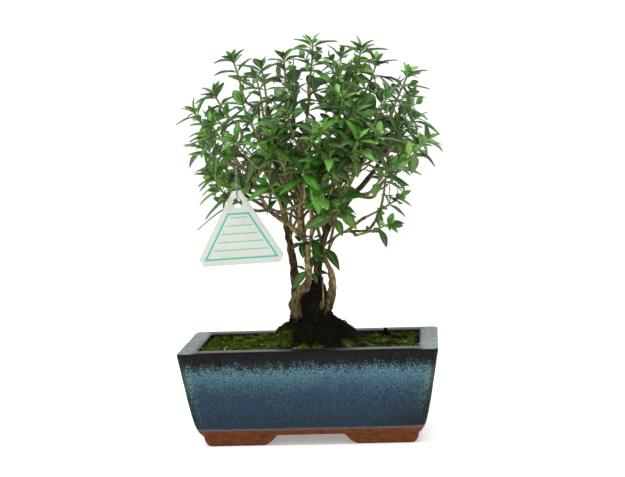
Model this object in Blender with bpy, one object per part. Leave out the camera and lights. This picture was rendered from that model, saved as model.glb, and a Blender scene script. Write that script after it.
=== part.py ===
"""A serissa bonsai in its glazed stoneware pot, with a hang tag on one branch.

The pot is a rectangular tray on four corner feet, with an inward lip and two drain holes, each
covered by a plastic mesh. Soil fills it, a moss carpet covers the soil and climbs the mound at
the foot of the trunk. The plant is one woody body of stems, limbs and twigs, and leafy green
shoots that grow from the ends of its twigs.

The frame: millimetres here, scaled to metres when a mesh is made. +Z is up, -Y is the front, and
the origin is the middle of the pot's footprint, on the surface that the pot stands on.
"""

import math
import random

import bpy
from mathutils import Matrix, Vector
from mathutils.bvhtree import BVHTree

MM = 0.001
UP = Vector((0, 0, 1))

# Driving dimensions of the pot
POT_HALF_LENGTH = 100.0
POT_HALF_DEPTH = 62.0
POT_HEIGHT = 76.0
POT_CORNER = 5.0
LIP_WIDTH = 14.6
LIP_HEIGHT = 7.0
WALL = 7.0
FLOOR_UNDERSIDE = 8.5
FLOOR_TOP = 15.0
FOOT_WIDTH = 13.0
# A foot's levels: height, inset from the rim's outline, and half the gap between feet in x and y
FOOT_LEVELS = [(0.0, 19.6, 36.5, 17.0), (2.2, 18.2, 33.0, 14.0), (7.0, 16.8, 29.0, 10.5), (9.7, 16.4, 26.5, 8.0)]
DRAIN_X = 42.0
DRAIN_RADIUS = 7.5

# The outer wall from the underside to the rim: height, and inset from the rim's outline
POT_OUTSIDE = [
    (8.5, 16.6), (9.6, 15.0), (13.5, 12.4), (17.0, 10.9), (26.0, 8.6), (48.0, 4.5), (66.0, 1.5),
    (74.6, 0.0), (76.0, 1.2),
]

# Everything that fills the pot
GAP = 0.3
SOIL_EDGE_Z = 70.4
MOSS_THICKNESS = 2.6
MOUND_CENTRE = Vector((3.0, 0.0))
MOUND_HEIGHT = 22.0
MOUND_RADIUS = 33.0
MOUND_STEEPNESS = 4.0
MOUND_DEPTH_SHARE = 0.86
MESH_SIZE = 30.0
MESH_THICKNESS = 1.2
MESH_HOLES = 2
MESH_BAR = 2.2

# The trunk's sections: height, centre x, half-width across, half-width in depth, lobe share
TRUNK = [
    (46.0, 4.0, 9.0, 8.0, 0.10), (62.0, 4.0, 15.0, 12.0, 0.10), (80.0, 3.0, 19.6, 16.0, 0.09),
    (92.0, 2.2, 17.8, 14.2, 0.07), (101.0, 0.8, 16.0, 12.4, 0.05), (109.0, 0.8, 15.8, 11.0, 0.04),
    (115.0, 1.0, 12.6, 8.4, 0.02), (118.0, 1.0, 6.6, 4.6, 0.0),
]
TRUNK_LOBES = 5

# Stems and limbs by hand, from the trunk outwards: sides, first and last radius, and the route
LIMBS = {
    "left_stem": (5, 3.5, 1.4, [
        (-9, 6, 98), (-12, 9, 118), (-13, 11, 134), (-16, 12, 153), (-18, 13, 167), (-21, 14, 184),
        (-24, 16, 206), (-26, 17, 236), (-30, 16, 262)]),
    "left_fork": (4, 2.0, 1.2, [(-20, 14, 180), (-30, 16, 204), (-36, 15, 236), (-37, 12, 266)]),
    "front_stem": (5, 3.3, 1.2, [
        (-8, -4, 96), (-6, -7, 112), (0, -9, 126), (0, -9, 138), (0, -8, 149), (-3, -8, 158),
        (-6, -8, 168), (-5, -9, 180), (-3, -10, 192), (0, -10, 215), (2, -8, 245), (6, -6, 274)]),
    "tag_limb": (4, 2.7, 1.3, [
        (-2, -8, 155), (-11, -11, 166), (-19, -15, 173), (-27, -20, 180), (-33, -26, 190),
        (-38, -32, 204), (-44, -39, 214), (-51, -44, 217), (-60, -48, 220)]),
    "thin_stem": (4, 1.7, 1.1, [
        (1, -9, 149), (3, -12, 160), (4, -16, 172), (4, -20, 181), (6, -28, 197), (8, -38, 216)]),
    "curved_stem": (5, 3.2, 1.3, [
        (12, -2, 94), (17, -3, 108), (19, -4, 121), (17, -4, 131), (13, -2, 140), (11, 3, 150),
        (13, 11, 163), (16, 21, 179), (22, 32, 202), (28, 42, 228)]),
    "right_stem": (5, 3.9, 1.3, [
        (5, 3, 100), (6, 4, 120), (7, 3, 136), (10, 0, 149), (14, -1, 160), (19, -2, 170),
        (26, -4, 178), (34, -6, 187), (45, -8, 199), (57, -10, 213), (67, -11, 230)]),
    "right_fork": (4, 2.2, 1.1, [(13, -1, 158), (21, 4, 180), (27, 8, 205), (35, 10, 235), (41, 10, 262)]),
    "front_fork": (4, 2.0, 1.1, [(18, -2, 168), (28, -13, 184), (36, -27, 201), (42, -41, 221)]),
    "low_limb": (4, 1.6, 1.0, [
        (12, -2, 137), (16, -6, 147), (21, -9, 157), (30, -14, 162), (44, -22, 163), (54, -30, 163)]),
    "back_stem": (5, 3.1, 1.2, [
        (1, 6, 104), (-1, 10, 122), (-3, 14, 142), (-5, 20, 160), (-7, 30, 181), (-9, 42, 205),
        (-9, 53, 230)]),
}

# The ends of the leafy shoots, by hand where the crown's front and outline show them
SHOOT_ENDS = [
    (-56, 10, 300), (-69, -15, 273), (-90, 24, 259), (-70, -36, 250), (-80, -6, 240), (-90, 57, 230),
    (-72, -24, 211), (-66, -34, 200), (-31, -20, 293), (-16, 16, 300), (9, -6, 311),
    (47, -14, 304), (58, 14, 294), (83, -2, 284), (83, 38, 266), (88, -12, 250), (96, -36, 233),
    (73, 14, 214), (74, -26, 189), (66, -44, 170), (42, -64, 258), (45, -76, 236), (3, -72, 214),
    (28, -36, 288), (-5, -54, 273), (-44, -46, 266), (-48, -64, 238), (-20, -76, 240), (18, -84, 244),
    (68, -56, 214), (-24, -62, 204), (34, -60, 194), (15, -72, 196), (24, -82, 226), (60, -60, 238),
    (34, -66, 268), (-36, -66, 252), (30, 16, 301), (66, -28, 266), (-8, -72, 257),
]
# The back of the crown, which follows a rule: for each level, its height, radius and how many
BACK_LEVELS = [(214.0, 80.0, 4), (250.0, 82.0, 4), (284.0, 58.0, 2)]
CROWN_HEART = Vector((4, 0, 160))
CROWN_SEED = 41

# A shoot: its green stem, and its leaves in opposite pairs, each turned a quarter from the last
SHOOT_LENGTH = 33.0
SHOOT_RADIUS = 0.95
SHOOT_TIP_RADIUS = 0.7
TWIG_END_RADIUS = 1.15
# Pairs of leaves: from where to where along the shoot they sit, their angle to the stem in
# degrees, and their length
LEAF_PAIRS = [
    (0.40, 0.44, 72, 17.0), (0.65, 0.69, 68, 21.0), (0.865, 0.91, 60, 20.0), (0.91, 0.955, 46, 17.0),
    (0.955, 1.0, 26, 11.5),
]
LEAF_WIDTH_SHARE = 0.36
ROUND_LEAF_WIDTH_SHARE = 0.62
ROUND_LEAF_LENGTH_SHARE = 0.62
LOW_SHOOT_Z = 200.0
LEAF_RIB_HALF = 0.42
LEAF_FOLD = 0.20
LEAF_ARCH = 0.20
LEAF_SAG = 0.10
LEAF_TO_LIGHT = 0.6
LEAST_LEAN = 0.55
MOST_LEAN = 1.75
# Sections of a blade: place along it, and share of its widest half-width
BLADE_SECTIONS = [(0.30, 0.94), (0.66, 0.86)]
LEAF_TRIES = 6
CLEAR_MARGIN = 0.35
FIRST_TWIG_Z = 150.0
TRUNK_FORK_Z = 95.0
TWIG_STEP = 21.0
TWIG_END_STEP = 2.5

# The hang tag: an equal-sided triangle with its corners cut off, hung by a twist of wire
TAG_HOLE = Vector((-50.5, -44.0, 189.0))
TAG_SIDE = 59.0
TAG_CUT = 6.6
TAG_THICKNESS = 0.8
TAG_HOLE_RADIUS = 3.8
TAG_HOLE_BELOW_TOP = 9.5
TAG_TILT = math.radians(2.3)
WIRE_RADIUS = 0.55
WIRE_POINTS_PER_END = 6
WIRE_SIDES = 6


def material(name, colour, roughness, metallic=0.0):
    """A Principled material with one colour, given as linear red, green and blue."""
    made = bpy.data.materials.new(name)
    made.use_nodes = True
    shader = made.node_tree.nodes["Principled BSDF"]
    shader.inputs["Base Color"].default_value = (*colour, 1.0)
    shader.inputs["Roughness"].default_value = roughness
    shader.inputs["Metallic"].default_value = metallic
    return made


def solid(name, shape, look):
    """An object from (points in mm, faces)."""
    points, faces = shape
    mesh = bpy.data.meshes.new(name)
    mesh.from_pydata([Vector(p) * MM for p in points], [], faces)
    mesh.update()
    obj = bpy.data.objects.new(name, mesh)
    bpy.context.scene.collection.objects.link(obj)
    obj.data.materials.append(look)
    return obj


def combine(body, shapes, operation, solver):
    """Joins or cuts all the shapes into the body in one Boolean, applies it, and removes them."""
    group = bpy.data.collections.new(body.name + "_pieces")
    bpy.context.scene.collection.children.link(group)
    pieces = []
    for i, shape in enumerate(shapes):
        piece = solid(f"{body.name}_piece_{i:03d}", shape, body.data.materials[0])
        bpy.context.scene.collection.objects.unlink(piece)
        group.objects.link(piece)
        pieces.append(piece)
    modifier = body.modifiers.new("combine", "BOOLEAN")
    modifier.operation = operation
    modifier.solver = solver
    modifier.operand_type = "COLLECTION"
    modifier.collection = group
    graph = bpy.context.evaluated_depsgraph_get()
    joined = bpy.data.meshes.new_from_object(body.evaluated_get(graph))
    body.modifiers.clear()
    body.data = joined
    for piece in pieces:
        bpy.data.objects.remove(piece)
    bpy.data.collections.remove(group)
    return body


def tree_of_object(obj):
    """A search tree of an object in mm, for the tests of what touches what."""
    points = [v.co / MM for v in obj.data.vertices]
    return BVHTree.FromPolygons(points, [tuple(p.vertices) for p in obj.data.polygons])


def loft(rings, close_ends=True):
    """A closed skin over rings of equally many points, with flat ends. Rings run anticlockwise
    seen from the last ring."""
    count = len(rings[0])
    points = [p for ring in rings for p in ring]
    faces = []
    for level in range(len(rings) - 1):
        low, high = level * count, (level + 1) * count
        for i in range(count):
            j = (i + 1) % count
            faces += [(low + i, low + j, high + j), (low + i, high + j, high + i)]
    if close_ends:
        faces.append(tuple(reversed(range(count))))
        faces.append(tuple(range(len(points) - count, len(points))))
    return points, faces


def frames_along(route):
    """A pair of cross directions at each point of a route, turned as little as possible."""
    tangents = []
    for i in range(len(route)):
        ahead = route[min(i + 1, len(route) - 1)]
        behind = route[max(i - 1, 0)]
        tangents.append((ahead - behind).normalized())
    side = tangents[0].orthogonal().normalized()
    frames = []
    for tangent in tangents:
        side = (side - tangent * side.dot(tangent)).normalized()
        frames.append((side, tangent.cross(side)))
    return frames


def tube_rings(route, radii, sides, turn=0.0):
    """The cross-sections of a tube along a route."""
    rings = []
    for point, radius, (side, other) in zip(route, radii, frames_along(route)):
        ring = []
        for k in range(sides):
            angle = turn + math.tau * k / sides
            ring.append(point + (side * math.cos(angle) + other * math.sin(angle)) * radius)
        rings.append(ring)
    return rings


def cylinder(centre, radius, low, high, sides):
    """An upright cylinder from one height to another."""
    rings = []
    for z in (low, high):
        rings.append([
            Vector((centre[0] + radius * math.cos(math.tau * k / sides),
                    centre[1] + radius * math.sin(math.tau * k / sides), z))
            for k in range(sides)
        ])
    return loft(rings)


def box(low, high):
    """A box between two corners."""
    corners = [(low[0], low[1]), (high[0], low[1]), (high[0], high[1]), (low[0], high[1])]
    return loft([[Vector((x, y, z)) for x, y in corners] for z in (low[2], high[2])])


def rounded_rectangle(half_x, half_y, corner, along_x=0, along_y=0):
    """An anticlockwise outline with three points round each corner, and more along the sides."""
    outline = []
    ends = [(1, 1, 0.0), (-1, 1, 90.0), (-1, -1, 180.0), (1, -1, 270.0)]
    for number, (sign_x, sign_y, start) in enumerate(ends):
        centre = Vector((sign_x * (half_x - corner), sign_y * (half_y - corner)))
        for step in range(3):
            turn = math.radians(start + 45.0 * step)
            outline.append(centre + corner * Vector((math.cos(turn), math.sin(turn))))
        extra = along_x if number % 2 == 0 else along_y
        next_x, next_y, next_start = ends[(number + 1) % 4]
        turn = math.radians(next_start)
        target = Vector((next_x * (half_x - corner), next_y * (half_y - corner)))
        target += corner * Vector((math.cos(turn), math.sin(turn)))
        last = outline[-1]
        outline += [last.lerp(target, (k + 1) / (extra + 1)) for k in range(extra)]
    return outline


def pot_ring(z, inset, corner=POT_CORNER):
    outline = rounded_rectangle(POT_HALF_LENGTH - inset, POT_HALF_DEPTH - inset, corner)
    return [Vector((p.x, p.y, z)) for p in outline]


def outer_inset(z):
    """How far the pot's outer wall stands in from the rim's outline at a height."""
    for (z0, in0), (z1, in1) in zip(POT_OUTSIDE, POT_OUTSIDE[1:]):
        if z0 <= z <= z1:
            return in0 + (in1 - in0) * (z - z0) / (z1 - z0)
    return POT_OUTSIDE[-1][1]


def foot(sign_x, sign_y):
    """One L-shaped corner foot. Its lower outline stands in a little, and its ends slope."""
    rings = []
    for z, outset, gap_x, gap_y in FOOT_LEVELS:
        far_x, far_y = POT_HALF_LENGTH - outset, POT_HALF_DEPTH - outset
        cut = POT_CORNER * 0.6
        near_x, near_y = far_x - FOOT_WIDTH, far_y - FOOT_WIDTH
        outline = [
            (gap_x, far_y), (gap_x, near_y), (near_x, near_y), (near_x, gap_y), (far_x, gap_y),
            (far_x, far_y - cut), (far_x - cut, far_y),
        ]
        ring = [Vector((sign_x * x, sign_y * y, z)) for x, y in outline]
        rings.append(ring if sign_x * sign_y > 0 else ring[::-1])
    return loft(rings)


def make_pot():
    """The tray: outside up to the rim, over the lip, and down the inside to the floor."""
    glaze = material("glazed_stoneware", (0.035, 0.105, 0.19), 0.3)
    rings = [pot_ring(z, inset) for z, inset in POT_OUTSIDE]
    lip_bottom = POT_HEIGHT - LIP_HEIGHT
    under_lip = lip_bottom - 7.0
    floor_inset = outer_inset(FLOOR_TOP) + WALL
    rings += [
        pot_ring(POT_HEIGHT, LIP_WIDTH - 1.0),
        pot_ring(POT_HEIGHT - 1.2, LIP_WIDTH),
        pot_ring(lip_bottom, LIP_WIDTH),
        pot_ring(under_lip, outer_inset(under_lip) + WALL),
        pot_ring(FLOOR_TOP, floor_inset),
    ]
    pot = solid("pot", loft(rings), glaze)
    combine(pot, [foot(x, y) for x in (-1, 1) for y in (-1, 1)], "UNION", "EXACT")
    drains = [cylinder((x, 0), DRAIN_RADIUS, 0.0, FLOOR_TOP + 5.0, 16) for x in (-DRAIN_X, DRAIN_X)]
    return combine(pot, drains, "DIFFERENCE", "EXACT")


def make_drain_mesh(name, x):
    """A square of plastic mesh that lies on the floor over a drain hole and holds the soil back."""
    plastic = material(name, (0.02, 0.02, 0.02), 0.6)
    half = MESH_SIZE / 2
    low = FLOOR_TOP + GAP
    plate = solid(name, box((x - half, -half, low), (x + half, half, low + MESH_THICKNESS)), plastic)
    pitch = (MESH_SIZE - MESH_BAR) / MESH_HOLES
    holes = []
    for i in range(MESH_HOLES):
        for j in range(MESH_HOLES):
            corner_x = x - half + MESH_BAR + i * pitch
            corner_y = -half + MESH_BAR + j * pitch
            side = pitch - MESH_BAR
            holes.append(box((corner_x, corner_y, low - 2), (corner_x + side, corner_y + side, low + 4)))
    return combine(plate, holes, "DIFFERENCE", "EXACT")


def trunk_point(angle, z, grow=0.0):
    """A point on the trunk's skin: its section at that height, with root lobes round it."""
    for (z0, *low), (z1, *high) in zip(TRUNK, TRUNK[1:]):
        if z <= z1 or z1 == TRUNK[-1][0]:
            share = (z - z0) / (z1 - z0)
            centre, across, deep, lobe = [a + (b - a) * share for a, b in zip(low, high)]
            break
    swell = 1 + lobe * math.cos(TRUNK_LOBES * angle + 0.6)
    return Vector((
        centre + (across * swell + grow) * math.cos(angle),
        (deep * swell + grow) * math.sin(angle),
        z,
    ))


def ground_z(x, y):
    """The soil's top: level by the walls, and a mound round the trunk with small bumps."""
    dx, dy = x - MOUND_CENTRE.x, (y - MOUND_CENTRE.y) / MOUND_DEPTH_SHARE
    distance = math.hypot(dx, dy) / MOUND_RADIUS
    bump = math.sin(x * 0.23 + 1.0) * math.cos(y * 0.31 + x * 0.11)
    return SOIL_EDGE_Z + MOUND_HEIGHT * math.exp(-(distance ** MOUND_STEEPNESS)) + 0.5 * bump


FILL_OUTLINE = rounded_rectangle(
    POT_HALF_LENGTH - LIP_WIDTH - GAP, POT_HALF_DEPTH - LIP_WIDTH - GAP, POT_CORNER, 4, 1)
FILL_RINGS = [0.0, 0.42, 0.74, 1.0]


def hole_edge(angle):
    """Where the ground meets the trunk on one side: the trunk's skin at the ground's height."""
    z = SOIL_EDGE_Z + MOUND_HEIGHT * 0.7
    for _ in range(12):
        point = trunk_point(angle, z, GAP + 0.1)
        z = ground_z(point.x, point.y)
    return trunk_point(angle, z, GAP + 0.1)


def ground_rings(lift):
    """Rings over the ground from the pot's lip in to the trunk, lifted off the soil."""
    rings = []
    for share in FILL_RINGS:
        ring = []
        for edge in FILL_OUTLINE:
            inner = hole_edge(math.atan2(edge.y, edge.x - MOUND_CENTRE.x))
            x = edge.x + (inner.x - edge.x) * share
            y = edge.y + (inner.y - edge.y) * share
            z = inner.z if share == 1.0 else ground_z(x, y)
            ring.append(Vector((x, y, z + lift)))
        rings.append(ring)
    return rings


def make_soil():
    """The fill under the moss, from the pot's floor up, with a plain hole for the trunk."""
    earth = material("soil", (0.035, 0.022, 0.014), 0.95)
    under_lip = POT_HEIGHT - LIP_HEIGHT - 7.0
    sides = []
    for z, inset in (
        (FLOOR_TOP + GAP, outer_inset(FLOOR_TOP) + WALL + GAP),
        (under_lip - GAP, outer_inset(under_lip) + WALL + GAP),
        (POT_HEIGHT - LIP_HEIGHT - 2 * GAP, LIP_WIDTH + GAP),
    ):
        outline = rounded_rectangle(POT_HALF_LENGTH - inset, POT_HALF_DEPTH - inset, POT_CORNER, 4, 1)
        sides.append([Vector((p.x, p.y, z)) for p in outline])
    top = ground_rings(0.0)
    angles = [math.atan2(p.y, p.x - MOUND_CENTRE.x) for p in FILL_OUTLINE]
    well = [[trunk_point(a, z, GAP + 0.1) for a in angles] for z in (80.0, 62.0, 46.0 - GAP)]
    soil = solid("soil", loft(sides + top + well), earth)
    half = MESH_SIZE / 2 + GAP
    recesses = [
        box((x - half, -half, FLOOR_TOP - 1), (x + half, half, FLOOR_TOP + 2 * GAP + MESH_THICKNESS))
        for x in (-DRAIN_X, DRAIN_X)
    ]
    return combine(soil, recesses, "DIFFERENCE", "EXACT")


def make_moss():
    """The moss carpet: one even layer over the soil, from the lip to the trunk."""
    green = material("moss", (0.055, 0.10, 0.012), 0.95)
    upper, top = loft(ground_rings(MOSS_THICKNESS + GAP), close_ends=False)
    lower = ground_rings(GAP)
    count, below = len(FILL_OUTLINE), len(upper)
    inner = below - count
    faces = top + [tuple(below + i for i in reversed(face)) for face in top]
    for i in range(count):
        j = (i + 1) % count
        for a, b in ((below, 0), (inner, below + inner)):
            faces += [(a + i, a + j, b + j), (a + i, b + j, b + i)]
    return solid("moss", (upper + [p for ring in lower for p in ring], faces), green)


def through(points):
    """A smooth curve through points set by hand, as a function of 0 to 1."""
    points = [Vector(p) for p in points]
    points = [points[0] * 2 - points[1]] + points + [points[-1] * 2 - points[-2]]
    spans = len(points) - 3

    def at(t):
        i = min(int(t * spans), spans - 1)
        s = t * spans - i
        p0, p1, p2, p3 = points[i:i + 4]
        bend = (2 * p0 - 5 * p1 + 4 * p2 - p3) * s ** 2 + (3 * p1 - p0 - 3 * p2 + p3) * s ** 3
        return (2 * p1 + (p2 - p0) * s + bend) / 2

    return at


def bezier(start, start_way, end, end_way):
    """A curve that leaves and arrives in the given directions, as a function of 0 to 1."""
    pull = (end - start).length * 0.38
    near, far = start + start_way * pull, end - end_way * pull

    def at(t):
        s = 1 - t
        return start * s ** 3 + near * 3 * s * s * t + far * 3 * s * t * t + end * t ** 3

    return at


class Shoot:
    """The plan of one leafy shoot: its stem, and the ways that each of its leaves could go."""

    def __init__(self, number, end, way):
        draw = random.Random(CROWN_SEED * 1000 + number)
        bend = Vector((draw.uniform(-1, 1), draw.uniform(-1, 1), draw.uniform(-0.6, 0.1)))
        root_way = (way + bend * 0.28 - UP * 0.1).normalized()
        self.root = end - (way + root_way) * SHOOT_LENGTH / 2
        self.low = end.z < LOW_SHOOT_Z
        self.at = bezier(self.root, root_way, end, way)
        stations = sorted({0.0}.union(*(pair[:2] for pair in LEAF_PAIRS)))
        self.route = [self.at(t) for t in stations]
        self.root_way = (self.route[1] - self.root).normalized()
        self.radii = [SHOOT_RADIUS + (SHOOT_TIP_RADIUS - SHOOT_RADIUS) * t for t in stations]
        self.rings = tube_rings(self.route, self.radii, 4, draw.uniform(0, math.tau))
        self.leaves = {}
        for number, pair in enumerate(LEAF_PAIRS):
            for opposite in (0, 2):
                face = (stations.index(pair[0]), (number + opposite) % 4)
                self.leaves[face] = self.leaf_choices(pair, face, draw)

    def stem_tree(self, margin=0.0):
        """A search tree of the stem, with a margin round it."""
        radii = [radius + margin for radius in self.radii]
        return BVHTree.FromPolygons(*loft(tube_rings(self.route, radii, 6)))

    def corners(self, face):
        """The four points of a stem face, anticlockwise seen from outside."""
        level, k = face
        low, high, j = self.rings[level], self.rings[level + 1], (k + 1) % 4
        return [low[k], low[j], high[j], high[k]]

    def leaf_choices(self, pair, face, draw):
        """Ways for one leaf, the best first: root, direction, upper side, length, half-width."""
        _, _, angle, length = pair
        root = sum(self.corners(face), Vector()) / 4
        low, high = self.route[face[0]:face[0] + 2]
        along = (high - low).normalized()
        out = root - (low + high) / 2
        out = (out - along * out.dot(along)).normalized()
        length *= draw.uniform(0.82, 1.18)
        share = LEAF_WIDTH_SHARE * draw.uniform(0.85, 1.15)
        if self.low and angle > 40:
            length *= ROUND_LEAF_LENGTH_SHARE
            share = ROUND_LEAF_WIDTH_SHARE
        choices = []
        for k in range(LEAF_TRIES):
            spread = 0.16 + 0.13 * k
            lean = math.radians(angle) + draw.uniform(-spread, spread)
            turned = Matrix.Rotation(draw.uniform(-spread, spread), 3, along) @ out
            lean = max(LEAST_LEAN if angle > 40 else 0.3, min(MOST_LEAN, lean))
            way = along * math.cos(lean) + turned * math.sin(lean)
            up = (along - way * along.dot(way)).normalized()
            up = (up + (UP - way * way.z) * LEAF_TO_LIGHT).normalized()
            choices.append((root, way, up, length, length * share / 2))
        return choices


def blade_sections(leaf, margin=0.0):
    """The cross-sections of a leaf from near its root on, each a lens of four points, and its tip.
    The leaf is folded at the rib and arched along its length."""
    root, way, up, length, half_width = leaf
    side = way.cross(up)

    def centre(t):
        return root + (way * t - up * (LEAF_ARCH * t * t) - UP * (LEAF_SAG * t * t)) * length

    sections = []
    for t, share in BLADE_SECTIONS:
        width, rib = half_width * share + margin, LEAF_RIB_HALF + margin
        lift = up * (width * LEAF_FOLD)
        middle = centre(t)
        sections.append([middle - up * rib, middle - side * width + lift, middle + up * rib,
                         middle + side * width + lift])
    return sections, centre(1.0) + way * margin


def skin(low, high):
    """The eight triangles between two loops of four points, split alike on both faces of a blade."""
    faces = []
    for i in range(4):
        j = (i + 1) % 4
        if i % 2:
            faces += [(low[i], low[j], high[j]), (low[i], high[j], high[i])]
        else:
            faces += [(low[i], low[j], high[i]), (low[j], high[j], high[i])]
    return faces


def blade_test(leaf):
    """A search tree of a leaf with a margin round it, without the part next to its root."""
    sections, tip = blade_sections(leaf, CLEAR_MARGIN)
    root, way, up, _, _ = leaf
    side, near, thick = way.cross(up), root + way * 2.2, LEAF_RIB_HALF + CLEAR_MARGIN
    sections.insert(0, [near - up * thick, near - side * 1.2, near + up * thick, near + side * 1.2])
    points = [p for section in sections for p in section] + [tip]
    loops = [list(range(first, first + 4)) for first in range(0, len(points) - 1, 4)]
    faces = [(0, 3, 2, 1)]
    for low, high in zip(loops, loops[1:]):
        faces += skin(low, high)
    faces += [(loops[-1][i], loops[-1][(i + 1) % 4], len(points) - 1) for i in range(4)]
    return BVHTree.FromPolygons(points, faces)


def add_leaf(points, faces, corners, leaf):
    """Draws a leaf out of the stem face with these corners."""
    sections, tip = blade_sections(leaf)
    here = [points[c] for c in corners]
    ways = range(4)
    start = min(ways, key=lambda k: sum((here[i - k] - sections[0][i]).length for i in ways))
    loop = [corners[i - start] for i in ways]
    for section in sections:
        after = list(range(len(points), len(points) + 4))
        points += section
        faces += skin(loop, after)
        loop = after
    points.append(tip)
    faces += [(loop[i], loop[(i + 1) % 4], len(points) - 1) for i in ways]


def make_shoot(name, shoot, neighbours, green):
    """A leafy shoot in one piece, each leaf drawn out of the stem. A leaf that would touch a
    neighbour goes another way, and is left out if none is free."""
    chosen, own = {}, []
    for face, choices in shoot.leaves.items():
        for leaf in choices:
            test = blade_test(leaf)
            if not any(test.overlap(tree) for tree in neighbours + own):
                chosen[face] = leaf
                own.append(test)
                break
    points = [p for ring in shoot.rings for p in ring]
    last = len(points) - 4
    faces = [(3, 2, 1, 0), (last, last + 1, last + 2, last + 3)]
    for level in range(len(shoot.rings) - 1):
        for k in range(4):
            j = (k + 1) % 4
            corners = [4 * level + k, 4 * level + j, 4 * level + 4 + j, 4 * level + 4 + k]
            if (level, k) in chosen:
                add_leaf(points, faces, corners, chosen[level, k])
            else:
                faces += [corners[:3], [corners[0], *corners[2:]]]
    solid(name, (points, faces), green)
    return own


def shoot_plans():
    """Every leafy shoot: the front and outline by hand, and the back by levels."""
    draw = random.Random(CROWN_SEED)
    ends = [Vector(p) for p in SHOOT_ENDS]
    for z, radius, count in BACK_LEVELS:
        for k in range(count):
            turn = math.pi * (k + 0.5) / count + draw.uniform(-0.12, 0.12)
            far = radius * draw.uniform(0.94, 1.04)
            ends.append(Vector((far * math.cos(turn), far * math.sin(turn) + 6, z + draw.uniform(-6, 6))))
    shoots = []
    for number, end in enumerate(ends):
        way = ((end - CROWN_HEART).normalized() + UP * 0.25).normalized()
        shoots.append(Shoot(number, end, way))
    return shoots


def branch_shape(at, places, sides, first, last):
    """The tube of a limb or twig."""
    radii = [first + (last - first) * t for t in places]
    return loft(tube_rings([at(t) for t in places], radii, sides))


def grow_wood(shoots):
    """Each limb and twig: its curve, where along it its rings stand, its sides, and its first and
    last radius. The twig to a shoot starts on wood that is near, without doubling back, going a
    long way round or crossing a shoot."""
    branches, joints = [], []
    wide = [shoot.stem_tree(CLEAR_MARGIN) for shoot in shoots]

    def add(at, places, sides, first, last, reach):
        branches.append((at, places, sides, first, last))
        for here, there in zip(places, places[1:]):
            low, high = at(here), at(there)
            for share in (1 / 3, 2 / 3, 1):
                point = low.lerp(high, share)
                radius = first + (last - first) * (here + (there - here) * share)
                if point.z > FIRST_TWIG_Z:
                    passed = reach + (point - low).length
                    joints.append((point, (high - low).normalized(), radius, passed))
            reach += (high - low).length

    def cost(joint, end):
        point, way, _, reach = joint
        to = end - point
        if to.length < 8 or to.z < -4:
            return math.inf
        return to.length * (1.9 - 0.9 * to.normalized().dot(way)) + 0.25 * reach

    for sides, first, last, points in LIMBS.values():
        steps = len(points) - 1
        places = [k / steps for k in range(steps + 1)]
        add(through(points), places, sides, first, last, points[0][2] - TRUNK_FORK_Z)
    def twig(joint, end, end_way):
        point, way, radius, reach = joint
        length = (end - point).length
        first = max(TWIG_END_RADIUS + 0.1, min(radius * 0.8, 1.2 + length / 100))
        steps = max(2, round(length / TWIG_STEP))
        places = [k / steps for k in range(steps)] + [1 - TWIG_END_STEP / length, 1]
        return bezier(point, way, end, end_way), places, 3, first, TWIG_END_RADIUS

    for shoot in sorted(shoots, key=lambda s: (s.root - CROWN_HEART).length):
        end = shoot.root - shoot.root_way * GAP
        others = [tree for other, tree in zip(shoots, wide) if other is not shoot]
        others.append(shoot.stem_tree())
        for joint in sorted(joints, key=lambda joint: cost(joint, end)):
            planned = twig(joint, end, shoot.root_way)
            test = BVHTree.FromPolygons(*branch_shape(*planned))
            if not any(test.overlap(tree) for tree in others):
                break
        add(*planned, joint[3])
    return branches


def make_wood(shoots):
    """Trunk, stems, limbs and twigs, joined as the one piece of wood they grew as."""
    bark = material("bark", (0.13, 0.085, 0.045), 0.85)
    angles = [math.atan2(p.y, p.x - MOUND_CENTRE.x) for p in FILL_OUTLINE]
    trunk = loft([[trunk_point(a, z) for a in angles] for z, *_ in TRUNK])
    wood = solid("wood", trunk, bark)
    return combine(wood, [branch_shape(*plan) for plan in grow_wood(shoots)], "UNION", "MANIFOLD")


def tag_outline():
    """The tag's outline in its own plane, anticlockwise, round its hole at the origin."""
    full = TAG_SIDE + 2 * TAG_CUT
    height = full * math.sqrt(3) / 2
    corners = [Vector((-full / 2, -height)), Vector((full / 2, -height)), Vector((0, 0))]
    outline = []
    for i, corner in enumerate(corners):
        before, after = corners[i - 1], corners[(i + 1) % 3]
        outline.append(corner + (before - corner).normalized() * TAG_CUT)
        outline.append(corner + (after - corner).normalized() * TAG_CUT)
    top = max(p.y for p in outline)
    return [Vector((p.x, p.y - top + TAG_HOLE_BELOW_TOP)) for p in outline]


def make_tag():
    """A thin plastic triangle with cut corners and a round hole, which hangs nearly plumb."""
    plastic = material("tag", (0.66, 0.68, 0.62), 0.45)
    turn = Matrix.Rotation(TAG_TILT, 2)
    rings = []
    for depth in (TAG_THICKNESS / 2, -TAG_THICKNESS / 2):
        flat = [turn @ p for p in tag_outline()]
        rings.append([TAG_HOLE + Vector((p.x, depth, p.y)) for p in flat])
    tag = solid("tag", loft(rings), plastic)
    ring = []
    for depth in (4.0, -4.0):
        ring.append([
            TAG_HOLE + Vector((TAG_HOLE_RADIUS * math.cos(math.tau * k / 12), depth,
                               TAG_HOLE_RADIUS * math.sin(math.tau * k / 12)))
            for k in range(12)
        ])
    return combine(tag, [loft(ring)], "DIFFERENCE", "EXACT")


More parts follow.
